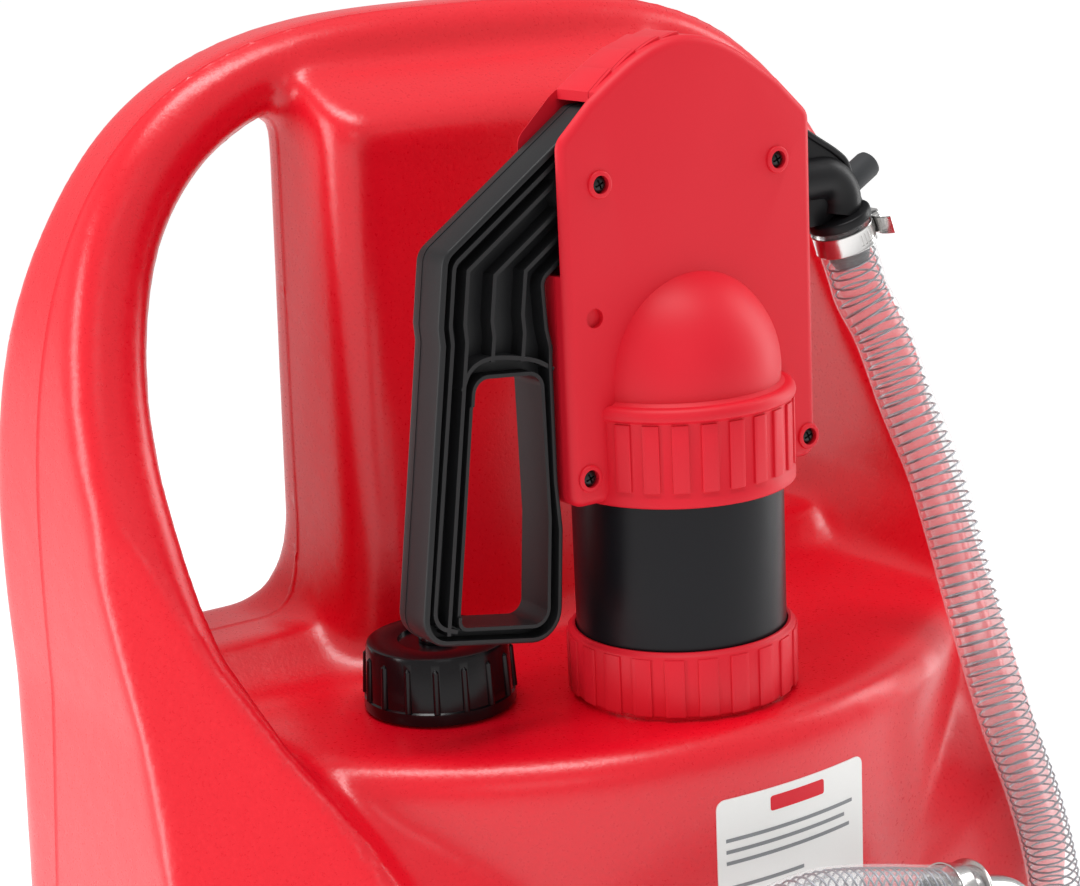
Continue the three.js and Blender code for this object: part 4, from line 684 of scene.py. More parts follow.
def wire_form():
    steps = 14
    turns = round(hose_length / wire_pitch)
    places = list(frames_along(hose_line))
    run = [0.0]
    for a, b in zip(hose_line, hose_line[1:]):
        run.append(run[-1] + (b - a).length)
    helix = []
    for k in range(turns * steps + 1):
        place = (0.01 + 0.98 * k / (turns * steps)) * run[-1]
        i = min(np.searchsorted(run, place, side="right") - 1, len(run) - 2)
        share = (place - run[i]) / (run[i + 1] - run[i])
        (p0, s0, u0), (p1, s1, u1) = places[i], places[i + 1]
        turn = 2 * math.pi * k / steps
        across = math.cos(turn) * s0.lerp(s1, share) + math.sin(turn) * u0.lerp(u1, share)
        helix.append(p0.lerp(p1, share) + wire_radius * across.normalized())
    curve = bpy.data.curves.new("helix", "CURVE")
    curve.dimensions, curve.use_fill_caps = "3D", True
    curve.bevel_depth, curve.bevel_resolution = wire_thick / 2, 1
    spline = curve.splines.new("POLY")
    spline.points.add(len(helix) - 1)
    spline.points.foreach_set("co", [c for p in helix for c in (*p, 1)])
    winding = bpy.data.objects.new("winding", curve)
    bpy.context.scene.collection.objects.link(winding)
    bm = bmesh.new()
    ready = winding.evaluated_get(bpy.context.evaluated_depsgraph_get())
    mesh = bpy.data.meshes.new_from_object(ready)
    bm.from_mesh(mesh)
    bpy.data.objects.remove(winding)
    bpy.data.curves.remove(curve)
    bpy.data.meshes.remove(mesh)
    return outward(bm)


hose_form = tube_wall(tube_rings(hose_line, hose_radius, 24), tube_rings(hose_line, hose_bore, 24))
hose = make_piece("hose_tube", hose_form, "tank", "clear_hose", ["hose"], sharp=60)
wire = make_piece("hose_wire", wire_form(), "tank", "steel", sharp=0)

# %% [markdown]
# The pump's housing is two injection mouldings that meet just in front of the middle. We make
# the whole outside first (an upright plate with rounded edges, the collar with its grip pads
# and the dome), hollow it out, open the slot for the lever, and then cut it in two at the joint.

# %% Pump housing
half_wide, shoulder, apex = 64, 211, 247.7
plate_half, wall = 16, 3
joint_y, joint_gap = -9, 0.15
roof_side = [(48, 226), (36, 234.2), (24, 241.4), (12, 246)]
roof = [*roof_side, (0, apex), *[(-x, z) for x, z in reversed(roof_side)]]
roof_line = centripetal([(x, z, 0) for x, z in roof], 5)
pivot, upper_right, lower_left, lower_right = (-45.3, 193), (45, 193), (-55.5, 75), (59, 72.5)
screw_spots = (pivot, upper_right, lower_left, lower_right)
dimple = (-50, 140)
dome_radius, dome_z = 45, 110
collar_radius, collar_low = 50.2, 62


def housing_outline(inset=0):
    half = half_wide - inset
    top = [(p.x * (1 - 0.7 * inset / half_wide), p.y - inset) for p in roof_line]
    low = 63 + inset
    return rounded([(-half, low, 6), (half, low, 6), (half, shoulder, 8), *top, (-half, shoulder, 8)])


def along_y(bm, front, spot):
    """Turns a shape made round Z so that its +Z points forward, out of the cover."""
    there = Matrix.Translation((spot[0], front, spot[1]))
    return placed(bm, there @ Matrix.Rotation(math.pi / 2, 4, "X"))


def dome_arc(radius, first, last, steps):
    """Points of a quarter arc over the collar, as (radius, height) for a turned shape."""
    turns = [math.radians(first + (last - first) * k / steps) for k in range(steps)]
    return [(radius * math.cos(t), dome_z + radius * math.sin(t)) for t in turns]


def grip_pads(inner, outer, low, high, share, count):
    """Raised pads round the Z axis, each with a softened edge."""
    pads = []
    turn = 2 * math.pi / count
    for i in range(count):
        angles = [i * turn + share * turn * (k / 4 - 0.5) for k in range(5)]
        outline = [(outer * math.cos(a), outer * math.sin(a)) for a in angles]
        outline += [(inner * math.cos(a), inner * math.sin(a)) for a in reversed(angles)]
        pads.append(soften(flat(outline, low, high), 0.35, 2))
    return gathered(*pads)


def collar_and_dome():
    dome = dome_arc(dome_radius, -7, 90, 24)
    body = turned(
        [(0, collar_low), (49.6, collar_low), (collar_radius, 62.6), (collar_radius, 66), (49.2, 67.5),
         (49.2, 97), (50.6, 98.2), (50.9, 99.5), (50.6, 101.2), (49.6, 102.6), (48, 103.2), (46.4, 103.2),
         *dome, (0, dome_z + dome_radius)], 128)
    return carved(body, grip_pads(48, collar_radius, 68.5, 96.5, 0.58, 26), "UNION")


def housing_form():
    shell = soften(upright(housing_outline(), -plate_half, plate_half), 4, 5, 60)
    lug = along_y(soften(disc(7.9, 0, 25), 1, 2, 60), 12, lower_right)
    shell = carved(shell, lug, "UNION")
    shell = carved(shell, collar_and_dome(), "UNION")
    for spot in screw_spots:
        boss = soften(disc(5.6, 0, 4), 0.7, 3, 60, lambda e: all(v.co.z > 3 for v in e.verts))
        shell = carved(shell, along_y(boss, -13.2, spot), "UNION")
        shell = carved(shell, along_y(disc(3.7, -3, 9), -14.2, spot))
    shell = carved(shell, along_y(disc(4, -6, 9), -14, dimple))
    bore, roof_bore = 45.4, dome_radius - wall
    room = upright(housing_outline(wall), -plate_half + wall, plate_half - wall)
    bell = turned([(0, 50), (bore, 50), (bore, 103.3), (roof_bore, 103.3), *dome_arc(roof_bore, 0, 90, 12),
                   (0, dome_z + roof_bore)], 96)
    shell = carved(shell, carved(room, bell, "UNION"))
    shell = carved(shell, along_y(disc(5.4, 11.3, 13.3), 0, dimple), "UNION")
    lever_slot = [(-80, 158), (-59.3, 158), (-59.3, 192.7), (-44, 192.7), (-44, 260), (-80, 260)]
    shell = carved(shell, upright(lever_slot, -13, 13))
    outlet_hole = placed(disc(9.6, 55, 75), Matrix.Translation((0, 0, 178)) @ lathe_to_x)
    return carved(shell, outlet_hole)


def roof_steps():
    """Four shallow overlapping steps on the roof beside the slot, like shingles."""
    left = [(p.x, p.y) for p in roof_line if -44 <= p.x <= 0.1]
    steps = []
    for k in range(4):
        first, last = round(k * (len(left) - 1) / 4), round((k + 1) * (len(left) - 1) / 4)
        run = left[first:last + 1]
        above = [(x, z + 1.3 * (1 - i / max(len(run) - 1, 1))) for i, (x, z) in enumerate(run)]
        below = [(x, z - 1.5) for x, z in reversed(run)]
        steps.append(soften(upright([*above, *below], -11, 11), 0.3, 2))
    return gathered(*steps)


housing = carved(housing_form(), roof_steps(), "UNION")
far = 200
halves = {"front": (-far, joint_y - joint_gap), "rear": (joint_y + joint_gap, far)}
for end, (front, rear) in halves.items():
    half = upright(box_outline(-far, -far, far, 2 * far), front, rear)
    cover = carved(housing.copy(), half, "INTERSECT")
    make_piece(f"{end}_cover", cover, "tank", "pump_red", [f"housing_{end}"])
housing.free()

# %% [markdown]
# Each of the four screws sits sunk in a raised ring. A cross recess is what makes it read as a
# screw even when it is only a few pixels wide, so it is cut into a slightly domed head.

# %% Cover screws
def cross_screw():
    head = turned(
        [(0, -24), (2, -24), (2, -0.3), (3.4, 0), (3.4, 1.2), (2.8, 1.9), (1.4, 2.3), (0, 2.4)], 32)
    for turn in (0, math.pi / 2):
        slot_tool = flat(box_outline(-2.1, -0.42, 2.1, 0.42), 0.9, 4)
        head = carved(head, placed(slot_tool, Matrix.Rotation(turn + 0.4, 4, "Z")))
    return head


for i, spot in enumerate(screw_spots, 1):
    screw = along_y(cross_screw(), -13.9, spot)
    make_piece(f"cover_screw_{i}", screw, "tank", "steel", [f"housing_screw_{i}"])

# %% [markdown]
# The ring below is the nut that holds the pump on the tank's neck. It has the same pads as the
# collar, but they run down to its foot, and a thin rim stands up round the black barrel.

# %% Coupling ring and barrel
ring = turned([
    (47, -27.3), (48.4, -27.3), (48.7, -26.8), (48.7, -2.2), (48.2, -1.4), (47.3, -0.9), (46.9, -0.1),
    (46.2, 0), (45.6, -0.3), (45.6, -3.4), (47, -3.4), (47, -27.3)], 128)
ring = carved(ring, grip_pads(47.6, 49.5, -27.3, -2.6, 0.6, 22), "UNION")
make_piece("ring_nut", ring, "tank", "pump_red", ["coupling_ring"])

barrel = turned([
    (0, -31.3), (14.5, -31.3), (14.5, -7.3), (46.7, -7.3), (46.7, -3.7), (45, -3.7), (45, 98),
    (41.5, 98), (41.5, -3.3), (10, -3.3), (10, -7.2), (0, -7.2)], 128)
make_piece("barrel", barrel, "tank", "black_plastic", ["pump_cylinder"])

# %% [markdown]
# The filler cap is glossy black. Its skirt flares a little towards a plain band at the foot, and
# sixteen thin round ribs run down it, each ending in a half-round tip under the rim.

# %% Filler cap and its vent
cap_ribs = 16


def cap_form():
    body = turned([
        (0, -3), (27.5, -3), (27.5, -28.3), (32.2, -28.3), (32.5, -27.6), (32.3, -23.4), (31.5, -22.8),
        (30.5, -1.6), (29.9, -0.2), (28.8, 0.4), (17.6, 0.4), (17, 0.1), (17, -1.2), (0, -1.2)], 96)
    ribs = []
    for i in range(cap_ribs):
        line = [Vector((r, 0, z)) for r, z in ((30.3, -4.2), (30.6, -5.4), (31.6, -23))]
        rib = skin_over(tube_rings(line, lambda k: (0.4, 1.35, 1.45)[k], 12))
        ribs.append(placed(rib, Matrix.Rotation(2 * math.pi * (i + 0.5) / cap_ribs, 4, "Z")))
    return carved(body, gathered(*ribs), "UNION")


make_piece("cap_body", on_filler(cap_form()), "cap_body", "black_plastic", ["filler_cap"])
vent = turned([(0, -0.9), (8, -0.9), (8, 0.6), (7.4, 1.5), (5.6, 2.5), (3, 3), (0, 3.1)], 48)
make_piece("vent_dome", on_filler(vent), "cap_body", "black_plastic", ["vent_valve"])

# %% [markdown]
# The lever is a ribbed moulding: an outer wall follows its outline, a thin web stands in its
# middle, and ribs stiffen it on both faces. We cut one broad pocket from each face and then put
# the ribs back as thin strips, because a strip along a line is easier to steer than a pocket.

# %% The lever's lines
lever_half = 10
knee, heel = Vector((-115.3, 172.8)), Vector((-134.6, 19.5))
arm_way, grip_way = Vector((0.822, 0.569)), Vector((-0.134, -0.991))
jog_top, jog_foot, jog = 145, 138, 1.45
outer_edge = [(-43, 222.8, 8), (*knee, 9), (-119.1, jog_top), (-118.6, jog_foot), (*heel, 12)]
inner_edge = [
    (-68.5, 6.9, 13), (-65.4, 54.6), (-66.8, 75), (-66.7, 123), (-66.3, 130), (-68, 138), (-69, 157, 4),
    (-45.3, 173.5), (-24, 178, 8), (-22, 204, 8), (-29, 222.8, 8)]
lever_outline = rounded(outer_edge + inner_edge, 8)
finger_hole = rounded(
    [(-103.2, 122.6, 6), (-73, 119.9, 6), (-72.3, 60), (-75.3, 16.2, 6), (-116.2, 23.6, 3)], 8)


def grown(outline, distance):
    """The outline moved outwards by a distance, corner by corner."""
    area = sum(a[0] * b[1] - b[0] * a[1] for a, b in zip(outline, outline[1:] + outline[:1]))
    side = distance if area > 0 else -distance
    points = []
    for i, point in enumerate(outline):
        back = (Vector(point) - Vector(outline[i - 1])).normalized()
        ahead = (Vector(outline[(i + 1) % len(outline)]) - Vector(point)).normalized()
        normal = Vector((back.y + ahead.y, -back.x - ahead.x))
        points.append(tuple(Vector(point) + normal.normalized() * side / max(normal.length / 2, 0.5)))
    return points


def strip(line, thick):
    """A closed outline round a line, half the thickness to each side."""
    line = [Vector(p) for p in line]
    left, right = [], []
    for i, point in enumerate(line):
        back = point - line[i - 1] if i else line[1] - point
        ahead = line[i + 1] - point if i + 1 < len(line) else back
        way = back.normalized() + ahead.normalized()
        across = Vector((-way.y, way.x)).normalized() * thick / 2 / max(way.length / 2, 0.5)
        left.append(point + across)
        right.append(point - across)
    return [tuple(p) for p in left + right[::-1]]


def rib_line(arm_in, grip_in, foot, bend=0):
    """A line so far in from the outer edge: along the arm, round the knee, down the grip."""
    arm_side = Vector((arm_way.y, -arm_way.x))
    grip_side = Vector((-grip_way.y, grip_way.x))
    on_arm, on_grip = knee + arm_side * arm_in, knee + grip_side * grip_in
    share = (on_grip - on_arm).cross(grip_way) / arm_way.cross(grip_way)
    corner = on_arm + arm_way * share
    line = [tuple(on_arm + arm_way * 84), (*corner, bend)]
    for z, shift in ((jog_top, 0), (jog_foot, jog), (foot, jog)):
        line.append(tuple(on_grip + grip_way * ((on_grip.y - z) / -grip_way.y) + Vector((shift, 0))))
    return line


# %% Lever
def lever_form():
    rib, skin, web_half, low_by = 1.7, 2.3, 2.2, 0.35
    body = soften(upright(lever_outline, -lever_half, lever_half), 1.1, 3, 40)
    inside = grown(lever_outline, -skin)
    for front, rear in ((-lever_half - 1, -web_half), (web_half, lever_half + 1)):
        body = carved(body, upright(inside, front, rear))
    over_hole = [
        (-109.5, 119), (-106.3, 125.6), (-101.8, 128.8), (-95, 129.9), (-81, 127.6), (-74, 125.4),
        (-66.5, 121)]
    arch = centripetal([(x, z, 0) for x, z in over_hole], 5)
    first = rib_line(6.05, 5.55, 34, 6)
    strips = [
        [*rounded([*first[:-1], (-128.6, 26.5, 8), (-118, 22.3)], 8)],
        rib_line(12.2, 12.05, 21.5), rib_line(21.9, 24.5, 128.5), rib_line(30.2, 38.7, 126.5),
        [p[:2] for p in arch]]
    inner_half = lever_half - low_by
    walls = [upright(strip([p[:2] for p in line], rib), -inner_half, inner_half) for line in strips]
    rim = upright(grown(finger_hole, 1.5), -inner_half, inner_half)
    for front, rear in ((-lever_half, -8.6), (8.6, lever_half)):
        rim = carved(rim, upright(box_outline(-125, 28, -100, 112), front, rear))
    body = carved(body, gathered(*walls, rim), "UNION")
    body = carved(body, upright(finger_hole, -lever_half - 2, lever_half + 2))
    seam = upright(grown(lever_outline, 0.25), 4.6, 5.2)
    seam = carved(seam, upright(grown(lever_outline, -1.5), 3, 7))
    return carved(body, seam, "UNION")


def crank_form():
    """The fork inside the housing that swings the piston rod's pin."""
    pin = (-2.2, 213.1)
    cheek = strip([pivot, pin], 18)
    parts = [soften(upright(cheek, a, b), 0.6, 2) for a, b in ((-lever_half, -6.5), (6.5, lever_half))]
    hub = along_y(disc(17, -lever_half, lever_half), 0, pivot)
    hole = along_y(disc(4.3, -20, 20), 0, pin)
    return carved(gathered(*parts, hub), hole)


lever_bm = carved(carved(lever_form(), crank_form(), "UNION"), along_y(disc(8.7, -20, 20), 0, pivot))
make_piece("lever_arm", lever_bm, "lever_body", "black_plastic", ["lever"])

# %% [markdown]
# The swan neck carries the fuel out of the housing and turns it down into the hose. A thin
# gusset with a rounded rim holds it up, and a soft stub behind it lets air in, so that the hose
# drains instead of siphoning.

# %% Swan neck
on_outlet = Matrix.Translation(outlet_centre) @ Matrix.Rotation(-outlet_tilt, 4, "Y")
on_outlet = on_outlet @ Matrix.Rotation(math.pi, 4, "X")
gusset_back = [(64.3, 205.3), (77, 197.4), (89.5, 189.6), (94.2, 185.3), (97.6, 176.5), (104.3, 162.5)]
route = rounded([(32, 104), (32, 180, 14), (95, 180, 12), (91.9, 163)], 10)
pipe = skin_over(tube_rings([Vector((x, 0, z)) for x, z in route], 9.4, 40))
flange = soften(placed(disc(14.4, -1.4, 3), on_outlet), 1, 3, 60)
barb_profile = [
    (0, 2), (8.2, 2), (8.2, 12), (9.2, 14), (8.2, 17), (9.2, 18.6), (8.2, 21.5), (7.6, 22.8), (6, 22.8),
    (6, 4), (0, 4)]
barb = placed(turned(barb_profile, 48), on_outlet)
back = [p[:2] for p in centripetal([(x, z, 0) for x, z in gusset_back], 5)]
gusset = soften(upright([(64.3, 172), *back, (92, 162)], -2.2, 2.2), 0.6, 2)
gusset_rim = soften(upright(strip(back, 3), -3.6, 3.6), 1.2, 3)
web = soften(upright([(62, 159.5), (82, 159.5), (88, 163), (88, 176), (62, 176)], -2.6, 2.6), 0.6, 2)
neck = pipe
for part in (flange, barb, gusset, gusset_rim, web):
    neck = carved(neck, part, "UNION")
make_piece("swan_neck", neck, "tank", "black_plastic", ["outlet_elbow"])

stub_profile = [
    (0, 0), (6.2, 0), (6.2, 17.6), (5.7, 19.2), (4.6, 20), (3.7, 19.8), (3.3, 19), (3.3, 16), (0, 16)]
stub_place = Matrix.Translation((100.5, 8.3, 172)) @ Matrix.Rotation(math.radians(60), 4, "Y")
stub = placed(turned(stub_profile, 48), stub_place)
make_piece("air_stub", stub, "tank", "grey_rubber", ["vacuum_breaker"])

# %% [markdown]
# A worm clamp is a steel band with slots in it, a small pressed housing and a screw whose
# thread bites into the slots. The band's free end sticks out past the housing. One function
# makes the clamp for both ends of the hose.

# %% Worm clamps
worm_axis = (16.4, 0)


def clamp_form():
    half_band = [(13.6, 3.6), (13.75, 4.2), (13.55, 4.5), (13, 4.5)]
    band = turned([(13, -4.5), *[(r, -z) for r, z in reversed(half_band[:3])], *half_band, (13, -4.5)], 96)
    slots = []
    for k in range(9):
        slot_tool = upright(box_outline(-0.55, -2.4, 0.55, 2.4), -15, -13.25)
        slots.append(placed(slot_tool, Matrix.Rotation(math.radians(115 + 9 * k), 4, "Z")))
    band = carved(band, gathered(*slots))
    house_outline = [(13.1, -5.6), (17.2, -5.6), (19.4, -3), (19.4, 3), (17.2, 5.6), (13.1, 5.6)]
    house = soften(flat(house_outline, -4.3, 4.3), 0.7, 2)
    house = carved(house, along_y(disc(2.7, -12, 12), 0, worm_axis))
    tail = strip([(13.3, 4), (12.9, 7), (12.6, 10), (13.4, 13.4), (14.8, 16.2)], 0.6)
    return gathered(carved(band, house, "UNION"), soften(flat(tail, -4, 4), 0.15, 1, 60))


def clamp_screw():
    thread = [(0, -5.8)]
    for k in range(9):
        thread += [(1.5, -5.6 + k), (2.2, -5.1 + k)]
    thread += [(1.6, 3.6), (1.6, 6.4), (3.9, 6.5), (4, 7), (4, 9.1), (3.5, 9.6), (0, 9.6)]
    screw = carved(turned(thread, 24), flat(box_outline(-4.2, -0.5, 4.2, 0.5), 8.4, 12))
    return along_y(screw, 0, worm_axis)


on_spout = Matrix.Translation(spout_start) @ Matrix.Rotation(math.pi / 2 + spout_slope, 4, "Y")
for end, start, along in (("pump", on_outlet, 9.8), ("spout", on_spout, 10)):
    place = start @ Matrix.Translation((0, 0, along))
    band, worm = placed(clamp_form(), place), placed(clamp_screw(), place)
    make_piece(f"clamp_band_{end}", band, "tank", "steel", [f"hose_clamp_{end}"], 30)
    make_piece(f"clamp_worm_{end}", worm, "tank", "steel", [f"clamp_screw_{end}"], 30)

# %% [markdown]
# Below the photograph's edge the hose ends on a bent steel spout that hangs in a ring on the
# tank's front. Its form is a plain bent tube with a rolled mouth, a stop for the hose and a
# collar that rests on the ring.

# %% Spout and its holder
spout_reach, spout_bend, spout_drop = 58, 26, 120
spout_knee = spout_point(spout_reach)
holder_top, holder_height = spout_knee.z - 48, 16


def spout_form():
    way = Vector((math.cos(spout_slope), 0, -math.sin(spout_slope)))
    knee_x, knee_z = spout_reach * way.x, spout_reach * way.z
    path = rounded([(0, 0), (knee_x, knee_z, spout_bend), (knee_x, knee_z - spout_drop)], 14)
    line = [spout_start + Vector((x, 0, z)) for x, z in path]
    outer, inner = tube_rings(line, 9, 40), tube_rings(line, 7.6, 40)
    outer[-1] = [p + (p - line[-1]).normalized() * 0.5 for p in outer[-1]]
    stop = placed(ring_solid(15.5, 8.6, 20.3, 21.8), on_spout)
    collar = ring_solid(14, 8.6, holder_top + 0.3, holder_top + 3.3)
    moved(collar, spout_knee.x, spout_knee.y, 0)
    return gathered(tube_wall(outer, inner), soften(stop, 0.4, 2), soften(collar, 0.6, 2))


def holder_form():
    x, low, margin = spout_knee.x, holder_top - holder_height, 14
    ring = soften(moved(ring_solid(14, 10, low, holder_top, 64), x, spout_knee.y, 0), 0.9, 3)
    plate = box_outline(x - 20, low - margin, x + 20, holder_top + margin, 6)
    plate = soften(upright(plate, -56.3, -52.3), 1, 3, 60)
    arm = soften(upright(box_outline(x - 4, low, x + 4, holder_top), -81.5, -54.5), 0.8, 2)
    return carved(carved(plate, arm, "UNION"), ring, "UNION")


make_piece("spout_tube", spout_form(), "tank", "steel", ["discharge_spout"], 40)
make_piece("spout_bracket", holder_form(), "tank", "black_plastic", ["spout_holder"])
for i, z in enumerate((holder_top - 24, holder_top + 8), 1):
    screw = along_y(cross_screw(), -56.8, (spout_knee.x, z))
    make_piece(f"bracket_screw_{i}", screw, "tank", "steel", [f"holder_screw_{i}"])

# %% [markdown]
# The wheels are out of the photograph. They are the usual solid rubber tyre on a spoked black
# hub: a ring of 32 short grooves is cut across each shoulder of the tread, and the hub is a lathe
# shape with eight ribs, eight holes and a pressed cap over the axle's end.

# %% Wheels
wheel_half = 22.5
washer_room = 2.6


def tyre_form():
    shoulder_line = [
        (62, -18.5), (64, -20.6), (68, -22.2), (76, -22.5), (88, -22.4), (95, -20.6), (98.6, -16.5),
        (99.7, -10), (100, -4), (97.5, -3)]
    tyre = turned(shoulder_line + [(r, -x) for r, x in reversed(shoulder_line)] + [(62, -18.5)], 160)
    groove_count, groove = 32, [(96, -1.5), (103, -1.9), (103, 1.9), (96, 1.5)]
    grooves = []
    for k in range(groove_count):
        for side in (-1, 1):
            cut = pushed([(r, y, side * 9) for r, y in groove], (0, side * 3.2, side * 16))
            turn = math.radians(360 * (k + 0.25 * side) / groove_count)
            grooves.append(placed(cut, Matrix.Rotation(turn, 4, "Z")))
    return carved(tyre, gathered(*grooves))


def hub_form():
    half = [(8.6, -22.5), (16, -22.5), (17, -21.5), (18.5, -6), (50, -4), (54, -14), (57, -19.4),
            (60.4, -20.4), (61.7, -18.6)]
    hub = turned(half + [(r, -x) for r, x in reversed(half)] + half[:1], 96)
    ribs, holes = [], []
    for k in range(8):
        spoke = soften(upright([(13, -17), (56, -14), (56, 14), (13, 17)], -1.6, 1.6), 0.6, 2)
        ribs.append(placed(spoke, Matrix.Rotation(k * math.pi / 4, 4, "Z")))
        hole = moved(disc(7.5, -30, 30, 32), 35, 0, 0)
        holes.append(placed(hole, Matrix.Rotation((k + 0.5) * math.pi / 4, 4, "Z")))
    return carved(carved(hub, gathered(*ribs), "UNION"), gathered(*holes, disc(8.6, -30, 30)))


def axle_cap_form():
    dome = [(0, 8), (7, 7.9), (11, 6.6), (13.3, 4.2), (14, 2.6)]
    return turned([*dome, (13.8, 0.2), (8.7, 0.2), (8.7, 4.2), (0, 4.2)], 48)


for name, side in (("left", -1), ("right", 1)):
    turn = Matrix.Rotation(side * math.pi / 2, 4, "Y")
    on_axle = lambda bm, x: placed(bm, Matrix.Translation((side * x, wheel_y, wheel_z)) @ turn)
    tyre, hub = (on_axle(form(), body_half - wheel_half) for form in (tyre_form, hub_form))
    make_piece(f"tread_{name}", tyre, f"{name}_wheel", "tyre", [f"tyre_{name}"])
    make_piece(f"wheel_{name}", hub, f"{name}_wheel", "black_plastic", [f"wheel_hub_{name}"])
    cap = on_axle(axle_cap_form(), body_half + washer_room)
    make_piece(f"hub_cap_{name}", cap, "tank", "black_plastic", [f"axle_cap_{name}"])

# %% [markdown]
# The front carries a printed label. It is glued onto the curved nose, so it is a thin sheet on
# the same cylinder, with rounded corners. Ours stays free of words: a plain white field with a
# red block near its top and a few grey rules below.

# %% Label
label_left, label_right, label_top, label_foot = -33, 46, -56, -128
nose_x, nose_y, nose_radius = 3, 160, 226


def on_nose(x, z, out):
    turn = math.asin((x - nose_x) / nose_radius)
    reach = nose_radius + out
    return nose_x + reach * math.sin(turn), nose_y - reach * math.cos(turn), z


def label_form(outline, low, high):
    sheet = pushed([(x, 0, z) for x, z in outline], (0, 1, 0))
    for x in np.arange(label_left + 2, label_right, 2):
        bmesh.ops.bisect_plane(
            sheet, geom=sheet.verts[:] + sheet.edges[:] + sheet.faces[:], plane_co=(x, 0, 0),
            plane_no=(1, 0, 0), dist=0.001)
    for v in sheet.verts:
        v.co = on_nose(v.co.x, v.co.z, high if v.co.y < 0.5 else low)
    return outward(sheet)


field = box_outline(label_left, label_foot, label_right, label_top, 4)
make_piece("label_field", label_form(field, -0.6, 0.55), "tank", "white_plastic")
block = box_outline(-7, -66, 22, -59.5, 1.2)
make_piece("label_block", label_form(block, 0.4, 0.68), "tank", "pump_red")
rule_left, rule_half = -29, 0.8
rule_ends = [(39, -74), (34, -79), (37, -84), (10, -95), (25, -104), (31, -113)]
rules = [box_outline(rule_left, z - rule_half, x, z + rule_half) for x, z in rule_ends]
rules = [label_form(rule, 0.4, 0.66) for rule in rules]
make_piece("label_rules", gathered(*rules), "tank", "grey_plastic")
# %% [markdown]
# The finishes share three effects, each built once as a node group. Mottle is the fine grain
# that a mould leaves and that breaks up every highlight. Cloud is a slow change of colour and
# gloss over a large surface. Brush is the fine lengthwise scratching of drawn metal. They all read
# Object coordinates, so they stick to the piece when it moves.

# %% Shared effects
def new_group(name, inputs, outputs):
    group = bpy.data.node_groups.new(name, "ShaderNodeTree")
    for label, value in inputs:
        socket = group.interface.new_socket(label, in_out="INPUT", socket_type="NodeSocketFloat")
        socket.default_value = value
    for label in outputs:
        group.interface.new_socket(label, in_out="OUTPUT", socket_type="NodeSocketFloat")
    return group, group.nodes.new("NodeGroupInput"), group.nodes.new("NodeGroupOutput")


def math_node(tree, operation, a, b):
    node = tree.nodes.new("ShaderNodeMath")
    node.operation = operation
    for socket, value in zip(node.inputs, (a, b)):
        if isinstance(value, (int, float)):
            socket.default_value = value
        else:
            tree.links.new(value, socket)
    return node.outputs[0]


def noise_node(tree, scale, detail, rough=0.55, stretch=None):
    place = tree.nodes.new("ShaderNodeTexCoord").outputs["Object"]
    if stretch:
        mapping = tree.nodes.new("ShaderNodeMapping")
        mapping.inputs["Scale"].default_value = stretch
        tree.links.new(place, mapping.inputs["Vector"])
        place = mapping.outputs[0]
    noise = tree.nodes.new("ShaderNodeTexNoise")
    noise.inputs["Detail"].default_value = detail
    noise.inputs["Roughness"].default_value = rough
    tree.links.new(place, noise.inputs["Vector"])
    if isinstance(scale, (int, float)):
        noise.inputs["Scale"].default_value = scale
    else:
        tree.links.new(scale, noise.inputs["Scale"])
    return noise.outputs["Fac"]


mottle, start, end = new_group("mottle", [("Grain", 900), ("Swell", 60)], ["Height", "Fleck"])
fine = noise_node(mottle, start.outputs["Grain"], 3, 0.6)
broad = noise_node(mottle, start.outputs["Swell"], 2)
height = math_node(mottle, "ADD", math_node(mottle, "MULTIPLY", fine, 0.4), broad)
mottle.links.new(height, end.inputs["Height"])
fleck = math_node(mottle, "MULTIPLY", math_node(mottle, "SUBTRACT", fine, 0.5), 2)
mottle.links.new(fleck, end.inputs["Fleck"])

cloud, start, end = new_group("cloud", [("Size", 9), ("Amount", 1)], ["Shift"])
drift = math_node(cloud, "SUBTRACT", noise_node(cloud, start.outputs["Size"], 4), 0.5)
cloud.links.new(math_node(cloud, "MULTIPLY", drift, start.outputs["Amount"]), end.inputs["Shift"])

brush, start, end = new_group("brush", [("Grain", 700)], ["Height", "Streak"])
scratch = noise_node(brush, start.outputs["Grain"], 4, 0.7, (1, 1, 0.06))
brush.links.new(scratch, end.inputs["Height"])
brush.links.new(math_node(brush, "SUBTRACT", scratch, 0.5), end.inputs["Streak"])
print("effects", [g.name for g in bpy.data.node_groups])

# %% [markdown]
# One recipe makes every plastic, rubber and metal: a colour that drifts a little, a roughness
# that the grain and the drift both change, and a bump from the grain. What differs is only the
# numbers, so each finish below is one line.

# %% Finishes
def add_group(tree, group, **values):
    node = tree.nodes.new("ShaderNodeGroup")
    node.node_tree = group
    for label, value in values.items():
        node.inputs[label].default_value = value
    return node


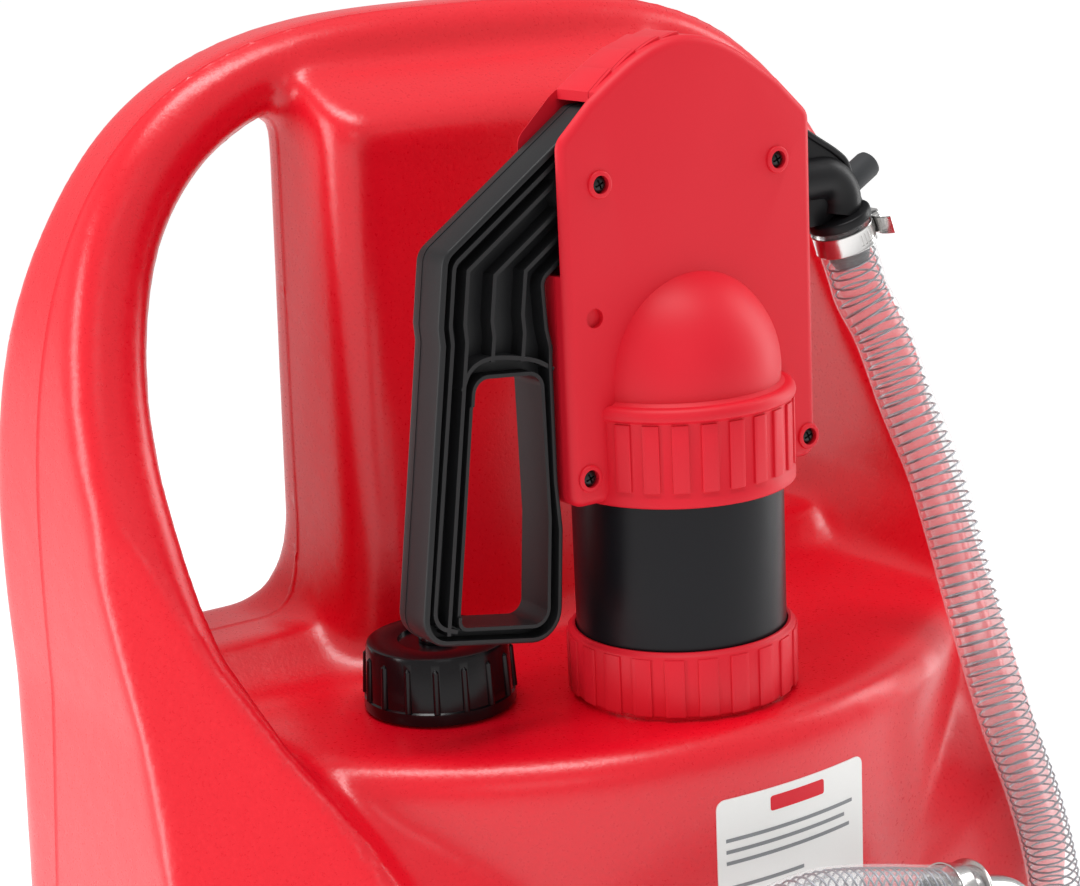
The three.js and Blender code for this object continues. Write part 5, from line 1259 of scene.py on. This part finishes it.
def finish(name, colour, rough, grain=900, swell=60, bump=0.1, drift=0.25, metal=0.0, specular=0.5,
           fleck=0.06, effect=None, alpha=None):
    material = bpy.data.materials.new(name)
    material.use_nodes = True
    tree = material.node_tree
    shader = tree.nodes["Principled BSDF"]
    shader.inputs["Metallic"].default_value = metal
    shader.inputs["Specular IOR Level"].default_value = specular
    if effect is brush:
        grainy = add_group(tree, brush, Grain=grain)
        change = grainy.outputs["Streak"]
    else:
        grainy = add_group(tree, mottle, Grain=grain, Swell=swell)
        change = grainy.outputs["Fleck"]
    shift = add_group(tree, cloud, Size=9, Amount=drift).outputs["Shift"]
    flecked = math_node(tree, "MULTIPLY", change, fleck)
    value = math_node(tree, "ADD", math_node(tree, "ADD", 1, shift), flecked)
    tint = tree.nodes.new("ShaderNodeHueSaturation")
    tint.inputs["Color"].default_value = (*colour, 1)
    tree.links.new(value, tint.inputs["Value"])
    tree.links.new(tint.outputs[0], shader.inputs["Base Color"])
    worn = math_node(tree, "ADD", math_node(tree, "MULTIPLY", shift, rough * 0.6), rough)
    tree.links.new(math_node(tree, "ADD", worn, flecked), shader.inputs["Roughness"])
    relief = tree.nodes.new("ShaderNodeBump")
    relief.inputs["Strength"].default_value = bump
    relief.inputs["Distance"].default_value = 0.0006
    tree.links.new(grainy.outputs["Height"], relief.inputs["Height"])
    tree.links.new(relief.outputs[0], shader.inputs["Normal"])
    if alpha:
        facing = tree.nodes.new("ShaderNodeLayerWeight")
        facing.inputs["Blend"].default_value = 0.35
        edge = math_node(tree, "POWER", facing.outputs["Facing"], 2.2)
        cover = math_node(tree, "ADD", math_node(tree, "MULTIPLY", edge, 0.42), alpha)
        tree.links.new(cover, shader.inputs["Alpha"])
        shader.inputs["IOR"].default_value = 1.5
    return material


recipes = {
    "tank_red": dict(colour=(0.7, 0.0008, 0.012), rough=0.3, grain=620, swell=70, bump=0.36, drift=0.1,
                     fleck=0.1, specular=0.6),
    "pump_red": dict(colour=(0.66, 0.008, 0.022), rough=0.48, grain=1500, swell=120, drift=0.12,
                     fleck=0.04, specular=0.3),
    "black_plastic": dict(colour=(0.006, 0.006, 0.007), rough=0.4, grain=1600, bump=0.12, drift=0.3,
                          specular=0.22),
    "cap_black": dict(colour=(0.004, 0.003, 0.004), rough=0.2, bump=0.05, drift=0.2, specular=0.28),
    "barrel_black": dict(colour=(0.007, 0.007, 0.009), rough=0.33, grain=1300, bump=0.08, drift=0.3,
                         specular=0.2),
    "lever_black": dict(colour=(0.012, 0.012, 0.013), rough=0.42, grain=1500, bump=0.16, specular=0.28),
    "tyre": dict(colour=(0.014, 0.014, 0.014), rough=0.72, bump=0.3, drift=0.4, fleck=0.1, specular=0.3),
    "rubber": dict(colour=(0.01, 0.01, 0.01), rough=0.8, grain=1200, bump=0.2, drift=0.3, specular=0.3),
    "grey_rubber": dict(colour=(0.035, 0.037, 0.04), rough=0.62, grain=1500, bump=0.25, drift=0.3,
                        specular=0.3),
    "steel": dict(colour=(0.62, 0.61, 0.6), rough=0.2, bump=0.05, drift=0.3, metal=1.0, effect=brush,
                  fleck=0.12),
    "wire_steel": dict(colour=(0.26, 0.27, 0.3), rough=0.3, grain=1200, bump=0.02, drift=0.2, metal=0.9,
                       effect=brush),
    "screw_black": dict(colour=(0.03, 0.03, 0.03), rough=0.3, grain=1600, drift=0.3, metal=0.8),
    "white_plastic": dict(colour=(0.82, 0.82, 0.8), rough=0.4, grain=1400, bump=0.06, drift=0.08,
                          fleck=0.02),
    "grey_plastic": dict(colour=(0.22, 0.23, 0.24), rough=0.45, grain=1400, bump=0.08, drift=0.15),
    "clear_hose": dict(colour=(0.93, 0.94, 0.95), rough=0.08, grain=500, bump=0.03, drift=0.05,
                       alpha=0.1, fleck=0.02),
}
finishes = {name: finish(name, **recipe) for name, recipe in recipes.items()}
special = {
    "cap_body": "cap_black", "vent_dome": "cap_black", "barrel": "barrel_black",
    "lever_arm": "lever_black", "hose_wire": "wire_steel",
    **{f"cover_screw_{i}": "screw_black" for i in range(1, 5)}}
slot_of = {s["node"]: s["material_slot"] for s in frame["record"]["subparts"]}
dressed = 0
for obj in list(bpy.data.objects):
    name = special.get(obj.name) or slot_of.get(obj.name) or obj.get("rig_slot")
    if obj.type != "MESH" or not name:
        continue
    obj.data.materials.clear()
    obj.data.materials.append(finishes[name])
    dressed += 1
print("dressed", dressed, "objects")

# %% [markdown]
# The stage is a pale floor under a white sky, as in a photographer's tent. The floor glows a
# little, so that it reads as pure white behind the tank. Two tall soft lights at the sides draw
# the long pale streaks down the tank's flanks, and a broad one overhead lights the roofs.

# %% Stage and lights
bpy.ops.mesh.primitive_plane_add(size=60, location=(0, 0, 0))
floor = bpy.context.object
floor.name = "floor"
floor_material = bpy.data.materials.new("pale_floor")
floor_material.use_nodes = True
floor_shader = floor_material.node_tree.nodes["Principled BSDF"]
floor_shader.inputs["Base Color"].default_value = (0.95, 0.95, 0.95, 1)
floor_shader.inputs["Roughness"].default_value = 0.9
floor_shader.inputs["Emission Color"].default_value = (1, 1, 1, 1)
floor_shader.inputs["Emission Strength"].default_value = 0.5
floor.data.materials.append(floor_material)

world = bpy.data.worlds.new("studio")
bpy.context.scene.world = world
world.use_nodes = True
world.node_tree.nodes["Background"].inputs["Color"].default_value = (1, 1, 1, 1)
world.node_tree.nodes["Background"].inputs["Strength"].default_value = 0.56
bpy.context.scene.view_settings.view_transform = "Standard"


def softbox(name, place, target, size, power):
    data = bpy.data.lights.new(name, "AREA")
    data.shape = "RECTANGLE"
    data.size, data.size_y = size
    data.energy = power
    light = bpy.data.objects.new(name, data)
    bpy.context.scene.collection.objects.link(light)
    way = Vector(target) - Vector(place)
    light.matrix_world = Matrix.Translation(place) @ way.to_track_quat("-Z", "Y").to_matrix().to_4x4()
    return light


softbox("left_light", (-2.2, 0.5, 1.1), (0, 0, 0.6), (0.7, 2.0), 26)
softbox("right_light", (2.1, -0.3, 1.2), (0, 0, 0.6), (0.6, 2.0), 20)
softbox("top_light", (-0.2, -0.2, 2.7), (0, 0, 0.6), (1.4, 0.6), 26)
softbox("front_light", (-1.0, -2.3, 1.9), (0, 0, 0.6), (1.0, 0.8), 3)
